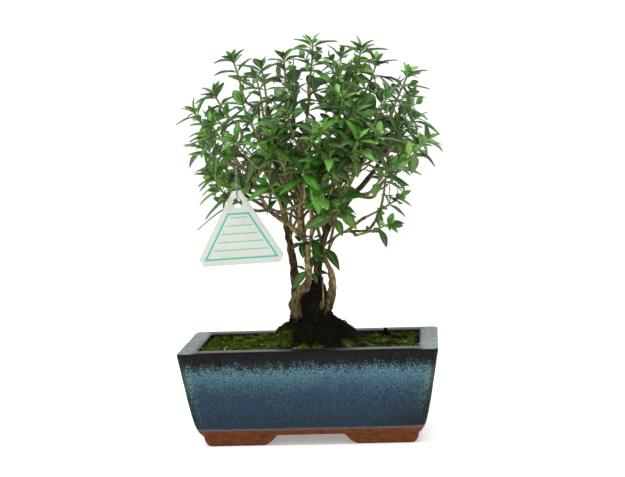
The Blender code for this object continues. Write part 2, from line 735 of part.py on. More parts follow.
def limb_at(name, x):
    """The place, direction and radius of a limb where it passes a given x."""
    _, first, last, points = LIMBS[name]
    for i, (a, b) in enumerate(zip(points, points[1:])):
        if min(a[0], b[0]) <= x <= max(a[0], b[0]):
            a, b = Vector(a), Vector(b)
            share = (x - a.x) / (b.x - a.x)
            radius = first + (last - first) * (i + share) / (len(points) - 1)
            return a.lerp(b, share), (b - a).normalized(), radius
    raise ValueError(f"{name} doesn't pass x {x}")


def make_wire():
    """One closed loop of wire: round the limb at its top, and through the tag's hole below."""
    steel = material("wire", (0.30, 0.30, 0.31), 0.35, 0.9)
    limb, along, radius = limb_at("tag_limb", TAG_HOLE.x)
    slant = math.sqrt(1 - along.x ** 2) / abs(along.x)
    clear = radius / abs(along.x) + WIRE_RADIUS * (1 + slant) + GAP
    waist = TAG_THICKNESS / 2 + WIRE_RADIUS + GAP
    low_y, low_z = TAG_HOLE.y, TAG_HOLE.z + TAG_HOLE_RADIUS - WIRE_RADIUS - GAP + waist
    neck = limb.z - clear * 1.6
    points = []
    for k in range(WIRE_POINTS_PER_END + 1):
        turn = math.pi * k / WIRE_POINTS_PER_END
        points.append((limb.y - clear * math.cos(turn), limb.z + clear * math.sin(turn)))
    points += [(limb.y + waist * 1.5, neck), (low_y + waist, low_z + 7.0)]
    for k in range(WIRE_POINTS_PER_END - 1):
        turn = math.pi * k / (WIRE_POINTS_PER_END - 2)
        points.append((low_y + waist * math.cos(turn), low_z - waist * math.sin(turn)))
    points += [(low_y - waist, low_z + 7.0), (limb.y - waist * 1.5, neck)]
    rings = []
    count = len(points)
    for i, (y, z) in enumerate(points):
        before, after = points[i - 1], points[(i + 1) % count]
        tangent = Vector((0, after[0] - before[0], after[1] - before[1])).normalized()
        out = Vector((0, tangent.z, -tangent.y))
        ring = []
        for k in range(WIRE_SIDES):
            turn = math.tau * k / WIRE_SIDES
            across = out * math.cos(turn) - Vector((1, 0, 0)) * math.sin(turn)
            ring.append(Vector((TAG_HOLE.x, y, z)) + across * WIRE_RADIUS)
        rings.append(ring)
    skin, faces = loft(rings + [rings[0]], close_ends=False)
    total = count * WIRE_SIDES
    faces = [tuple(i % total for i in face) for face in faces]
    return solid("tag_wire", (skin[:total], faces), steel)


def main():
    for old in list(bpy.data.objects):
        bpy.data.objects.remove(old)
    shoots = shoot_plans()
    pieces = [make_pot(), make_soil(), make_moss(), make_wood(shoots), make_tag(), make_wire()]
    for side, x in (("left", -DRAIN_X), ("right", DRAIN_X)):
        make_drain_mesh(f"drain_mesh_{side}", x)
    taken = [tree_of_object(piece) for piece in pieces]
    stems = [shoot.stem_tree(CLEAR_MARGIN) for shoot in shoots]
    green = material("leaf", (0.05, 0.16, 0.025), 0.45)
    leaves = 0
    for number, shoot in enumerate(shoots):
        others = taken + stems[:number] + stems[number + 1:]
        own = make_shoot(f"leafy_shoot_{number + 1:02d}", shoot, others, green)
        taken += own
        leaves += len(own)
    print(f"{len(shoots)} shoots, {leaves} leaves")


main()
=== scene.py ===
"""The looks of a serissa bonsai in its glazed pot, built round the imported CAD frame.

The file follows the object as it is put together: the pot, its drain meshes, the soil, the moss, the
wood, the leafy shoots, the tag and its wire, with one section for each. Lengths are in millimetres
until a mesh is made, +Z is up and -Y is the front.
"""
import math
import random

import bmesh
import bpy
from mathutils import Matrix, Vector, kdtree, noise
from mathutils.bvhtree import BVHTree


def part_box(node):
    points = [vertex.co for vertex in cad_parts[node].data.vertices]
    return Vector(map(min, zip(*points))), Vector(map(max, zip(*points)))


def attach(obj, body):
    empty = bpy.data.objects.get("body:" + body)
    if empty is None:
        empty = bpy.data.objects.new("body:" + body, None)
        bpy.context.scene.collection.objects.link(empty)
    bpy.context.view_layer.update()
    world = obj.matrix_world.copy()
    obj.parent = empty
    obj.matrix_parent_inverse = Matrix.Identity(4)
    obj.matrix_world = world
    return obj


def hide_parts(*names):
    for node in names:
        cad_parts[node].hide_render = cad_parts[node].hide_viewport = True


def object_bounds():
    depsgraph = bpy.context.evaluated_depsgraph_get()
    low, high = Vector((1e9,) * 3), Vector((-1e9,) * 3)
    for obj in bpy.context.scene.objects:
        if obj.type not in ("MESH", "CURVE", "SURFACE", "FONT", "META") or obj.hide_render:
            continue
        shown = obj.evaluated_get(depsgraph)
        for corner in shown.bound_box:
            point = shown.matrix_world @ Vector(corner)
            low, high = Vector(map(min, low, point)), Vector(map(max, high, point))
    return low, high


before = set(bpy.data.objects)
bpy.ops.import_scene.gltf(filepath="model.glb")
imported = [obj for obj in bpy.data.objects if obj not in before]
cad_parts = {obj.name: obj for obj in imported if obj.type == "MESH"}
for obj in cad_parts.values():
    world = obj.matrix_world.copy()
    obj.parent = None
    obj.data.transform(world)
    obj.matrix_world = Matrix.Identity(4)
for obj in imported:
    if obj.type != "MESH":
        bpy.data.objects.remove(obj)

cad_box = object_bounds()
scene = bpy.context.scene

# The studio: a camera fitted to the pot's corners in the photograph, a plain pale floor, and soft
# boxes above and beside the plant.
MM = 0.001
UP = Vector((0, 0, 1))
FOCAL_PIXELS, IMAGE_WIDTH = 1812.6, 625
CAMERA_PLACE = Vector((0.0984, -1.42352, 0.27733))
YAW, PITCH, ROLL = 0.06669, 0.08458, -0.03379

ahead = Vector((-math.sin(YAW) * math.cos(PITCH), math.cos(YAW) * math.cos(PITCH), -math.sin(PITCH)))
right = Vector((math.cos(YAW), math.sin(YAW), 0))
above = right.cross(ahead)
camera_x = right * math.cos(ROLL) + above * math.sin(ROLL)
camera_y = above * math.cos(ROLL) - right * math.sin(ROLL)
camera_data = bpy.data.cameras.new("camera")
camera_data.sensor_width = 36.0
camera_data.lens = FOCAL_PIXELS / IMAGE_WIDTH * camera_data.sensor_width
camera = bpy.data.objects.new("camera", camera_data)
camera_turn = Matrix((camera_x, camera_y, -ahead)).transposed().to_4x4()
camera.matrix_world = Matrix.Translation(CAMERA_PLACE) @ camera_turn
scene.collection.objects.link(camera)
scene.camera = camera
scene.view_settings.view_transform = "Standard"


def linear(code):
    """A hex colour as linear red, green, blue and alpha."""
    shares = [int(code[i:i + 2], 16) / 255 for i in (1, 3, 5)]
    return (*[s / 12.92 if s <= 0.04045 else ((s + 0.055) / 1.055) ** 2.4 for s in shares], 1.0)


def plug(node, inputs):
    """Sets or links a node's inputs by name or number."""
    for key, value in dict(inputs).items():
        if isinstance(value, bpy.types.NodeSocket):
            node.id_data.links.new(value, node.inputs[key])
        else:
            node.inputs[key].default_value = value


def add(tree, kind, inputs=(), stops=(), result=None, **settings):
    """Adds a node with its settings and inputs, and gives the named result, or else the first that
    is in use. A kind without the word Node in it is a shader's. Stops are the places and hex
    colours of a colour ramp: both ends first, then the rest."""
    node = tree.nodes.new(kind if "Node" in kind else "ShaderNode" + kind)
    for key, value in settings.items():
        setattr(node, key, value)
    plug(node, inputs)
    for number, (place, colour) in enumerate(stops):
        ramp = node.color_ramp.elements
        stop = ramp[number] if number < 2 else ramp.new(place)
        stop.position, stop.color = place, linear(colour)
    if result:
        return node.outputs[result]
    return next((socket for socket in node.outputs if socket.enabled), None)


def new_material(name):
    """An empty material, with its tree and its Principled shader."""
    made = bpy.data.materials.new(name)
    made.use_nodes = True
    return made, made.node_tree, made.node_tree.nodes["Principled BSDF"]


def soft_box(name, place, target, size, power):
    """A square area light that faces a point."""
    data = bpy.data.lights.new(name, "AREA")
    data.shape, data.size, data.energy = "SQUARE", size, power
    box = bpy.data.objects.new(name, data)
    turn = (Vector(target) - Vector(place)).to_track_quat("-Z", "Y")
    box.matrix_world = Matrix.Translation(place) @ turn.to_matrix().to_4x4()
    scene.collection.objects.link(box)


soft_box("key_box", (-0.7, -0.9, 1.6), (0, 0, 0.2), 0.5, 21)
soft_box("top_box", (0.4, 0.2, 1.7), (0, 0, 0.2), 0.8, 15)
soft_box("front_box", (0.8, -1.8, 0.9), (0, 0, 0.15), 0.8, 3)
world = bpy.data.worlds.new("studio")
world.use_nodes = True
plug(world.node_tree.nodes["Background"], {"Color": linear("#ffffff"), "Strength": 0.58})
scene.world = world

paper, tree, shader = new_material("matt_white_paper")
plug(shader, {"Base Color": linear("#f4f4f3"), "Roughness": 0.9,
              "Emission Color": linear("#ffffff"), "Emission Strength": 0.30})
# The floor lies flat round the pot, then sweeps up: its line from the middle outwards, in metres
FLOOR_Z, FLAT_RADIUS, SWEEP_RADIUS, RIM_Z = -1e-4, 3.6, 1.6, 2.6
bowl = [(0.0, FLOOR_Z), (1.0, FLOOR_Z), (FLAT_RADIUS, FLOOR_Z)]
for k in range(1, 13):
    turn = k * math.pi / 24
    bowl.append((FLAT_RADIUS + SWEEP_RADIUS * math.sin(turn), SWEEP_RADIUS - SWEEP_RADIUS * math.cos(turn)))
bowl.append((FLAT_RADIUS + SWEEP_RADIUS, RIM_Z))
form = bmesh.new()
profile = [form.verts.new((far, 0, z)) for far, z in bowl]
spun = [form.edges.new(pair) for pair in zip(profile, profile[1:])]
bmesh.ops.spin(form, geom=profile + spun, axis=(0, 0, 1), cent=(0, 0, 0), angle=math.tau, steps=64)
bmesh.ops.remove_doubles(form, verts=form.verts, dist=1e-4)
bmesh.ops.recalc_face_normals(form, faces=form.faces)
for face in form.faces:
    face.smooth = True
floor_mesh = bpy.data.meshes.new("floor")
form.to_mesh(floor_mesh)
form.free()
floor_mesh.materials.append(paper)
floor = bpy.data.objects.new("floor", floor_mesh)
scene.collection.objects.link(floor)


# The pot: a press-moulded stoneware tray on four corner feet, with an inward lip. Its outside and
# lip are dipped in a layered blue glaze, which breaks to turquoise below a dark band at the rim;
# that turquoise is partly real glaze colour and partly a painted soft reflection.
# The base and feet are bare terracotta-coloured clay.
POT_HALF_LENGTH, POT_HALF_DEPTH, POT_HEIGHT = 100.0, 62.0, 76.0
POT_CORNER = 3.6
LIP_WIDTH, LIP_HEIGHT, LIP_SLOPE, WALL = 14.6, 7.0, 7.0, 7.0
FLOOR_TOP = 15.0
FOOT_WIDTH, FOOT_CORNER = 13.0, 3
DRAIN_X, DRAIN_RADIUS = 42.0, 7.5
# Outer wall: height, and inset from the rim's outline
POT_OUTSIDE = [
    (8.5, 16.6), (8.8, 15.6), (9.6, 15.0), (11.2, 13.7), (13.5, 12.4), (17.0, 10.9), (21.0, 9.8),
    (26.0, 8.6), (36.0, 6.5), (48.0, 4.5), (57.0, 2.95), (66.0, 1.5), (71.5, 0.55), (74.4, 0.1),
    (75.3, 0.25), (75.8, 0.7), (76.0, 1.4),
]
# The lip's rounded inner edge: height, and how far short it stops of the lip's full width
LIP_EDGE = [(76.0, 1.6), (75.8, 0.8), (75.3, 0.25), (74.4, 0.0)]
# Feet: height, inset, and half the gap between feet in x and y
FOOT_LEVELS = [
    (0.0, 20.6, 36.6, 18.1), (0.5, 19.7, 35.4, 17.0), (1.6, 18.7, 33.2, 15.2), (3.4, 17.6, 30.8, 13.0),
    (5.4, 17.0, 28.8, 11.2), (7.2, 16.7, 27.3, 10.2), (8.7, 16.4, 25.6, 8.6), (9.7, 16.3, 24.6, 7.7),
]


def loft(rings, close_ends=True):
    """A skin over rings of equally many points, which run anticlockwise seen from the last."""
    count = len(rings[0])
    points = [p for ring in rings for p in ring]
    faces = []
    for level in range(len(rings) - 1):
        low, high = level * count, (level + 1) * count
        for i in range(count):
            j = (i + 1) % count
            faces.append((low + i, low + j, high + j, high + i))
    if close_ends:
        faces.append(tuple(reversed(range(count))))
        faces.append(tuple(range(len(points) - count, len(points))))
    return points, faces


def new_piece(name, shape, looks=(), sharp=None):
    """An object from (points in mm, faces), smooth up to an angle in degrees."""
    mesh = bpy.data.meshes.new(name)
    mesh.from_pydata([Vector(p) * MM for p in shape[0]], [], shape[1])
    for look in looks:
        mesh.materials.append(look)
    made = bpy.data.objects.new(name, mesh)
    scene.collection.objects.link(made)
    if sharp:
        shade(made, sharp)
    return made


def shade(made, sharp):
    """Smooth shading, with edges kept sharp where faces meet at more than an angle."""
    form = bmesh.new()
    form.from_mesh(made.data)
    for face in form.faces:
        face.smooth = True
    for edge in form.edges:
        edge.smooth = len(edge.link_faces) == 2 and edge.calc_face_angle(0) < math.radians(sharp)
    form.to_mesh(made.data)
    form.free()


def make_plain(made):
    """Turns an object with its modifiers into a plain mesh."""
    shaped = made.evaluated_get(bpy.context.evaluated_depsgraph_get())
    made.data = bpy.data.meshes.new_from_object(shaped)
    made.modifiers.clear()


def combine(body, shapes, operation):
    """Joins or cuts shapes into a body."""
    for shape in shapes:
        tool = new_piece("tool", shape)
        cut = body.modifiers.new("cut", "BOOLEAN")
        cut.operation, cut.solver, cut.object = operation, "EXACT", tool
        make_plain(body)
        bpy.data.objects.remove(tool)


def rounded_rectangle(half_x, half_y, corner, corner_steps, along_x, along_y):
    """An anticlockwise outline with points round each corner, and more along the sides."""
    outline = []
    ends = [(1, 1, 0.0), (-1, 1, 90.0), (-1, -1, 180.0), (1, -1, 270.0)]
    for number, (sign_x, sign_y, start) in enumerate(ends):
        centre = Vector((sign_x * (half_x - corner), sign_y * (half_y - corner)))
        for step in range(corner_steps + 1):
            turn = math.radians(start + 90.0 * step / corner_steps)
            outline.append(centre + corner * Vector((math.cos(turn), math.sin(turn))))
        extra = along_x if number % 2 == 0 else along_y
        next_x, next_y, next_start = ends[(number + 1) % 4]
        turn = math.radians(next_start)
        target = Vector((next_x * (half_x - corner), next_y * (half_y - corner)))
        target += corner * Vector((math.cos(turn), math.sin(turn)))
        last = outline[-1]
        outline += [last.lerp(target, (k + 1) / (extra + 1)) for k in range(extra)]
    return outline


def pot_ring(z, inset):
    """The pot's outline at a height, set in from the rim's."""
    outline = rounded_rectangle(POT_HALF_LENGTH - inset, POT_HALF_DEPTH - inset, POT_CORNER, 6, 9, 5)
    return [Vector((p.x, p.y, z)) for p in outline]


def outer_inset(z):
    """How far the outer wall stands in from the rim's outline at a height."""
    for (z0, in0), (z1, in1) in zip(POT_OUTSIDE, POT_OUTSIDE[1:]):
        if z0 <= z <= z1:
            return in0 + (in1 - in0) * (z - z0) / (z1 - z0)
    return POT_OUTSIDE[-1][1] if z > 40 else POT_OUTSIDE[0][1]


def foot(sign_x, sign_y):
    """One L-shaped corner foot, whose ends curve like an S."""
    rings = []
    for z, inset, gap_x, gap_y in FOOT_LEVELS:
        far_x, far_y = POT_HALF_LENGTH - inset, POT_HALF_DEPTH - inset
        near_x, near_y = far_x - FOOT_WIDTH, far_y - FOOT_WIDTH
        outline = [(gap_x, far_y), (gap_x, near_y), (near_x, near_y), (near_x, gap_y), (far_x, gap_y)]
        for step in range(6):
            turn = math.radians(90 * step / 5)
            outline.append((far_x - FOOT_CORNER + FOOT_CORNER * math.cos(turn),
                            far_y - FOOT_CORNER + FOOT_CORNER * math.sin(turn)))
        ring = [Vector((sign_x * x, sign_y * y, z)) for x, y in outline]
        rings.append(ring if sign_x * sign_y > 0 else ring[::-1])
    return loft(rings)


def cylinder(centre, radius, low, high, sides):
    """An upright cylinder from one height to another."""
    turns = [math.tau * k / sides for k in range(sides)]
    ring = [(centre[0] + radius * math.cos(turn), centre[1] + radius * math.sin(turn)) for turn in turns]
    return loft([[Vector((x, y, z)) for x, y in ring] for z in (low, high)])


lip_bottom = POT_HEIGHT - LIP_HEIGHT
under_lip = lip_bottom - LIP_SLOPE
rings = [pot_ring(z, inset) for z, inset in POT_OUTSIDE]
rings += [pot_ring(z, LIP_WIDTH - short) for z, short in LIP_EDGE]
rings.append(pot_ring(lip_bottom, LIP_WIDTH))
rings += [pot_ring(z, outer_inset(z) + WALL) for z in (under_lip, FLOOR_TOP)]
pot = new_piece("glazed_pot", loft(rings))
combine(pot, [foot(x, y) for x in (-1, 1) for y in (-1, 1)], "UNION")
combine(pot, [cylinder((x, 0), DRAIN_RADIUS, -2.0, 20.0, 32) for x in (-DRAIN_X, DRAIN_X)], "DIFFERENCE")
# Where each point of the wall lies between the corners, from -1 to 1, for the glaze
place = pot.data.attributes.new("wall_place", "FLOAT_VECTOR", "POINT")
for vertex, item in zip(pot.data.vertices, place.data):
    at = vertex.co / MM
    inset = outer_inset(at.z)
    item.vector = (at.x / (POT_HALF_LENGTH - inset), at.y / (POT_HALF_DEPTH - inset), 0)
# Hand pressing leaves the walls a little uneven above the base, in waves of about 45 mm
UNEVEN, WAVE, BASE_TOP = 0.35, 45.0, 12
for vertex in pot.data.vertices:
    at = vertex.co / MM
    if at.z > BASE_TOP:
        push = noise.noise(at / WAVE) * UNEVEN
        vertex.co.x += math.copysign(push * MM, at.x)
        vertex.co.y += math.copysign(push * MM, at.y)
shade(pot, 32)

# Stoneware glaze: a glassy coat over a grainy body, so it is smooth and reflects, and its rutile
# flecks, 0.6 to 1 mm, float in bands that run down the wall.
glaze, tree, shader = new_material("rutile_glazed_stoneware")
spot = add(tree, "TexCoord", result="Object")
mm = add(tree, "VectorMath", {0: spot, 1: (1000, 1000, 1000)}, operation="MULTIPLY")
height = add(tree, "SeparateXYZ", {0: mm}, result="Z")
ragged = add(tree, "TexNoise", {"Vector": mm, "Scale": 1 / 6.0, "Detail": 4.0, "Roughness": 0.62})
drips = add(tree, "VectorMath", {0: mm, 1: (0.35, 0.35, 0.05)}, operation="MULTIPLY")
runs = add(tree, "TexNoise", {"Vector": drips, "Scale": 0.5, "Detail": 3.0})
shift = add(tree, "MapRange", {"Value": ragged, "To Min": -3.2, "To Max": 3.2})
shift_more = add(tree, "MapRange", {"Value": runs, "To Min": -4.5, "To Max": 4.5})
level = add(tree, "Math", {0: height, 1: shift}, operation="ADD")
level = add(tree, "Math", {0: level, 1: shift_more}, operation="ADD")
share = add(tree, "Math", {0: level, 1: 1 / 80.0}, operation="MULTIPLY")
# Dark ground and pale flecks, each with its own colour at each share of 80 mm above the table, and
# how much of the wall the flecks cover there
ground = add(tree, "ValToRGB", {0: share}, stops=[
    (0.18, "#1c2c35"), (1, "#090809"), (0.34, "#1f2c38"),
    (0.55, "#1b2c39"), (0.72, "#0e212d"), (0.8, "#0b171f"), (0.87, "#08090a"),
])
# The pale flecks are brightest and thickest 10 to 25 mm below the rim: partly the glaze's turquoise, partly a
# painted soft reflection
pale = add(tree, "ValToRGB", {0: share}, stops=[
    (0.18, "#2f4352"), (1, "#3b3936"), (0.34, "#384b5e"), (0.55, "#3a5263"),
    (0.68, "#3f616d"), (0.79, "#5c7c81"), (0.86, "#646a69"), (0.92, "#4c4b48"),
])
spread = add(tree, "ValToRGB", {0: share}, stops=[
    (0.15, "#6e6e6e"), (1.0, "#404040"), (0.5, "#868686"),
    (0.70, "#a8a8a8"), (0.78, "#8a8a8a"), (0.85, "#5a5a5a"), (0.91, "#464646"),
])
tall = add(tree, "VectorMath", {0: mm, 1: (1.0, 1.0, 0.62)}, operation="MULTIPLY")
fleck = add(tree, "TexNoise", {"Vector": tall, "Scale": 1 / 0.72, "Detail": 2.0, "Roughness": 0.6})
over = add(tree, "Math", {0: fleck, 1: spread}, operation="ADD")
over = add(tree, "MapRange", {"Value": over, "From Min": 0.72, "From Max": 0.87})
flecked = add(tree, "Mix", {0: over, 6: ground, 7: pale}, data_type="RGBA")
# Clouds of slate, 15 to 40 mm, and blotches of green-black, 3 to 6 mm, where iron shows through
cloud = add(tree, "TexNoise", {"Vector": mm, "Scale": 1 / 26.0, "Detail": 3.0})
clouded = add(tree, "MapRange", {"Value": cloud, "From Min": 0.48, "From Max": 0.68, "To Max": 0.4})
below = add(tree, "MapRange", {"Value": level, "From Min": 64.0, "From Max": 50.0})
clouded = add(tree, "Math", {0: clouded, 1: below}, operation="MULTIPLY")
flecked = add(tree, "Mix", {0: clouded, 6: flecked, 7: linear("#213048")}, data_type="RGBA")
blotch = add(tree, "TexNoise", {"Vector": mm, "Scale": 1 / 9.0, "Detail": 5.0, "Roughness": 0.72})
blotched = add(tree, "MapRange", {"Value": blotch, "From Min": 0.63, "From Max": 0.70, "To Max": 0.7})
flecked = add(tree, "Mix", {0: blotched, 6: flecked, 7: linear("#11191e")}, data_type="RGBA")
# By the corners: the glaze thins to a dark line at the edge, and pools green-grey beside it. It
# is thinnest low down at the right end of the front, where it stays nearly black.
wall = add(tree, "Attribute", attribute_name="wall_place", result="Vector")
wall = add(tree, "SeparateXYZ", {0: wall}).node.outputs
from_end = add(tree, "Math", {0: wall["X"]}, operation="ABSOLUTE")
from_end = add(tree, "Math", {0: from_end, 1: -POT_HALF_LENGTH, 2: POT_HALF_LENGTH}, operation="MULTIPLY_ADD")
from_face = add(tree, "Math", {0: wall["Y"]}, operation="ABSOLUTE")
from_face = add(tree, "Math", {0: from_face, 1: -POT_HALF_DEPTH, 2: POT_HALF_DEPTH}, operation="MULTIPLY_ADD")
from_corner = add(tree, "Math", {0: from_end, 1: from_face}, operation="MAXIMUM")
wander = add(tree, "MapRange", {"Value": runs, "To Min": -4.0, "To Max": 4.0})
from_corner = add(tree, "Math", {0: from_corner, 1: wander}, operation="ADD")
pooled = add(tree, "MapRange", {"Value": from_corner, "From Min": 12.0, "From Max": 4.5, "To Max": 0.75})
pooled = add(tree, "Math", {0: pooled, 1: over}, operation="MULTIPLY")
flecked = add(tree, "Mix", {0: pooled, 6: flecked, 7: linear("#557262")}, data_type="RGBA")
thin = add(tree, "MapRange", {"Value": from_corner, "From Min": 5.0, "From Max": 1.5, "To Max": 0.85})
flecked = add(tree, "Mix", {0: thin, 6: flecked, 7: linear("#161b1d")}, data_type="RGBA")
right_end = add(tree, "MapRange", {"Value": wall["X"], "From Min": 0.5, "From Max": 0.95})
low_down = add(tree, "MapRange", {"Value": level, "From Min": 40.0, "From Max": 16.0, "To Max": 0.85})
right_end = add(tree, "Math", {0: right_end, 1: low_down}, operation="MULTIPLY")
flecked = add(tree, "Mix", {0: right_end, 6: flecked, 7: linear("#12181b")}, data_type="RGBA")
# The rim's top is worn pale grey-green, most at its two ends, and its upward-facing part is painted paler
# still as light falling from above
facing = add(tree, "NewGeometry", result="Normal")
facing = add(tree, "SeparateXYZ", {0: facing}, result="Z")
worn = add(tree, "MapRange", {"Value": facing, "From Min": 0.25, "From Max": 0.85})
high = add(tree, "MapRange", {"Value": height, "From Min": 73.8, "From Max": 75.2})
worn = add(tree, "Math", {0: worn, 1: high}, operation="MULTIPLY")
# Along the front and back the wear and painted light show only on the inner half, and the outer edge stays
# dark
kept = add(tree, "Math", {0: ragged, 1: 8.0, 2: from_face}, operation="MULTIPLY_ADD")
kept = add(tree, "MapRange", {"Value": kept, "From Min": 14.5, "From Max": 11.0, "To Min": 0.45})
away = add(tree, "MapRange", {"Value": from_end, "From Min": 9.0, "From Max": 18.0, "To Max": 0.95})
kept = add(tree, "Math", {0: kept, 1: away}, operation="MULTIPLY")
kept = add(tree, "Math", {0: 1.0, 1: kept}, operation="SUBTRACT")
worn = add(tree, "Math", {0: worn, 1: kept}, operation="MULTIPLY")
rim_noise = add(tree, "TexNoise", {"Vector": mm, "Scale": 1 / 3.5, "Detail": 4.0, "Roughness": 0.7})
rim = add(tree, "ValToRGB", {0: rim_noise}, stops=[
    (0.28, "#3c4747"), (0.72, "#8d9a96"), (0.40, "#5f6b68"), (0.52, "#78857f")])
stained = add(tree, "Math", {0: ragged, 1: 9.0, 2: from_end}, operation="MULTIPLY_ADD")
stained = add(tree, "MapRange", {"Value": stained, "From Min": 15.0, "From Max": 18.0, "To Max": 0.75})
rim = add(tree, "Mix", {0: stained, 6: rim, 7: linear("#3a403d")}, data_type="RGBA")
flecked = add(tree, "Mix", {0: worn, 6: flecked, 7: rim}, data_type="RGBA")
# Below the dipping line the clay is bare, and a thin purple-grey line ends the glaze
edge = add(tree, "Math", {0: runs, 1: 2.4, 2: -1.2}, operation="MULTIPLY_ADD")
dip = add(tree, "Math", {0: height, 1: edge}, operation="ADD")
lined = add(tree, "MapRange", {"Value": dip, "From Min": 15.4, "From Max": 13.8})
flecked = add(tree, "Mix", {0: lined, 6: flecked, 7: linear("#57505a")}, data_type="RGBA")
clay_noise = add(tree, "TexNoise", {"Vector": mm, "Scale": 1 / 5.0, "Detail": 6.0, "Roughness": 0.7})
clay = add(tree, "ValToRGB", {0: clay_noise}, stops=[(0.25, "#3f2114"), (0.75, "#7a4426"), (0.5, "#61351d")])
bare = add(tree, "MapRange", {"Value": dip, "From Min": 13.4, "From Max": 12.8})
coloured = add(tree, "Mix", {0: bare, 6: flecked, 7: clay}, data_type="RGBA")
gloss = add(tree, "MapRange", {
    "Value": fleck, "From Min": 0.35, "From Max": 0.65, "To Min": 0.24, "To Max": 0.36})
gloss = add(tree, "Mix", {0: worn, 2: gloss, 3: 0.5})
gloss = add(tree, "Mix", {0: bare, 2: gloss, 3: 0.88})
grain = add(tree, "Bump", {"Strength": 0.35, "Distance": 0.00025, "Height": clay_noise})
ripple = add(tree, "Bump", {"Strength": 0.25, "Distance": 0.0001, "Height": fleck, "Normal": grain})
plug(shader, {
    "Base Color": coloured, "Roughness": gloss, "IOR": 1.5, "Specular IOR Level": 0.1, "Normal": ripple})
pot.data.materials.clear()
pot.data.materials.append(glaze)
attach(pot, "root")
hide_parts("pot")


# Two squares of black plastic mesh lie on the floor over the drain holes and hold the soil back.
# They are cut from moulded polyethylene sheet, one strand every 3.4 mm.
MESH_SIZE, MESH_PITCH, STRAND = 30.0, 3.4, 1.0
STRANDS_SPAN = 0.96  # share of the size between the middles of the outermost strands
plastic, tree, shader = new_material("moulded_polyethylene")
spot = add(tree, "TexCoord", result="Object")
dust = add(tree, "TexNoise", {"Vector": spot, "Scale": 600.0, "Detail": 3.0})
black = add(tree, "ValToRGB", {0: dust}, stops=[(0.4, "#141414"), (0.8, "#3a332b")])
grain = add(tree, "Bump", {"Strength": 0.4, "Distance": 0.0002, "Height": dust})
plug(shader, {"Base Color": black, "Normal": grain, "Roughness": 0.55})
cells = round(MESH_SIZE / MESH_PITCH)
for side, x in (("left", -DRAIN_X), ("right", DRAIN_X)):
    low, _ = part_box(f"drain_mesh_{side}")
    places = [MESH_SIZE * (k / cells - 0.5) * STRANDS_SPAN for k in range(cells + 1)]
    grid = [Vector((x + across, deep, low.z / MM + STRAND / 2)) for deep in places for across in places]
    row = cells + 1
    squares = [(j * row + i, j * row + i + 1, (j + 1) * row + i + 1, (j + 1) * row + i)
               for j in range(cells) for i in range(cells)]
    mesh_piece = new_piece(f"plastic_mesh_{side}", (grid, squares), [plastic])
    wires = mesh_piece.modifiers.new("strands", "WIREFRAME")
    wires.thickness = STRAND * MM
    make_plain(mesh_piece)
    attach(mesh_piece, "root")
    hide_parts(f"drain_mesh_{side}")


# The soil: a dark mix of clay grains and humus, packed into the pot round the root ball. It shows
# only through the drain meshes and in gaps of the moss, so the CAD body stays.
soil, tree, shader = new_material("potting_soil")
spot = add(tree, "TexCoord", result="Object")
grains = add(tree, "TexVoronoi", {"Vector": spot, "Scale": 350.0}).node.outputs
browns = add(tree, "ValToRGB", {0: grains["Color"]}, stops=[
    (0.0, "#15110d"), (1.0, "#4d3d2c"), (0.6, "#2a211a")])
lumps = add(tree, "Bump", {"Strength": 0.8, "Distance": 0.001, "Height": grains["Distance"]})
plug(shader, {"Base Color": browns, "Normal": lumps, "Roughness": 0.95})
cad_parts["soil"].material_slots[0].material = soil


# The moss: a carpet of short living moss over the soil, greenest at the left and thin on the mound,
# where dark humus, crumbs and a few straws show. The carpet is one skin, and the moss's tips, the
# crumbs and the straws are scattered on it.
GAP, SOIL_EDGE_Z, MOSS_THICKNESS = 0.3, 70.4, 2.6
MOUND_CENTRE = Vector((3.0, 0.0))
MOUND_HEIGHT, MOUND_RADIUS, MOUND_STEEPNESS, MOUND_DEPTH_SHARE = 22.0, 33.0, 4.0, 0.86
# The trunk's sections: height, centre x, half-width across, half-width in depth, lobe share
TRUNK = [
    (46.0, 4.0, 9.0, 8.0, 0.10), (62.0, 4.0, 15.0, 12.0, 0.10), (80.0, 3.0, 18.2, 15.0, 0.09),
    (92.0, 1.4, 15.2, 12.6, 0.07), (101.0, 0.6, 13.9, 11.0, 0.05), (109.0, 1.2, 12.6, 9.4, 0.04),
    (116.0, 3.2, 9.0, 7.2, 0.02), (122.0, 5.6, 5.0, 5.0, 0.0), (126.0, 6.6, 2.0, 2.6, 0.0),
]
TRUNK_LOBES, INTO_TRUNK = 5, 1.5
MOSS_SEED = 7


def clipped(value):
    """A value kept between 0 and 1."""
    return max(0.0, min(1.0, value))


def trunk_point(angle, z, grow=0.0):
    """A point on the trunk's skin: its section at that height, with root lobes round it."""
    for (z0, *low), (z1, *high) in zip(TRUNK, TRUNK[1:]):
        if z <= z1 or z1 == TRUNK[-1][0]:
            share = (z - z0) / (z1 - z0)
            centre, across, deep, lobe = [a + (b - a) * share for a, b in zip(low, high)]
            break
    swell = 1 + lobe * math.cos(TRUNK_LOBES * angle + 0.6)
    return Vector((
        centre + (across * swell + grow) * math.cos(angle),
        (deep * swell + grow) * math.sin(angle),
        z,
    ))


def ground_z(x, y):
    """The soil's top: level by the walls, and a mound round the trunk with small bumps."""
    dx, dy = x - MOUND_CENTRE.x, (y - MOUND_CENTRE.y) / MOUND_DEPTH_SHARE
    distance = math.hypot(dx, dy) / MOUND_RADIUS
    bump = math.sin(x * 0.23 + 1.0) * math.cos(y * 0.31 + x * 0.11)
    return SOIL_EDGE_Z + MOUND_HEIGHT * math.exp(-(distance ** MOUND_STEEPNESS)) + 0.5 * bump


def on_mound(x, y):
    """1 on the mound, falling to 0 on the level ground round it."""
    dx, dy = x - MOUND_CENTRE.x, (y - MOUND_CENTRE.y) / MOUND_DEPTH_SHARE
    return math.exp(-((math.hypot(dx, dy) / (MOUND_RADIUS * 1.08)) ** 6))


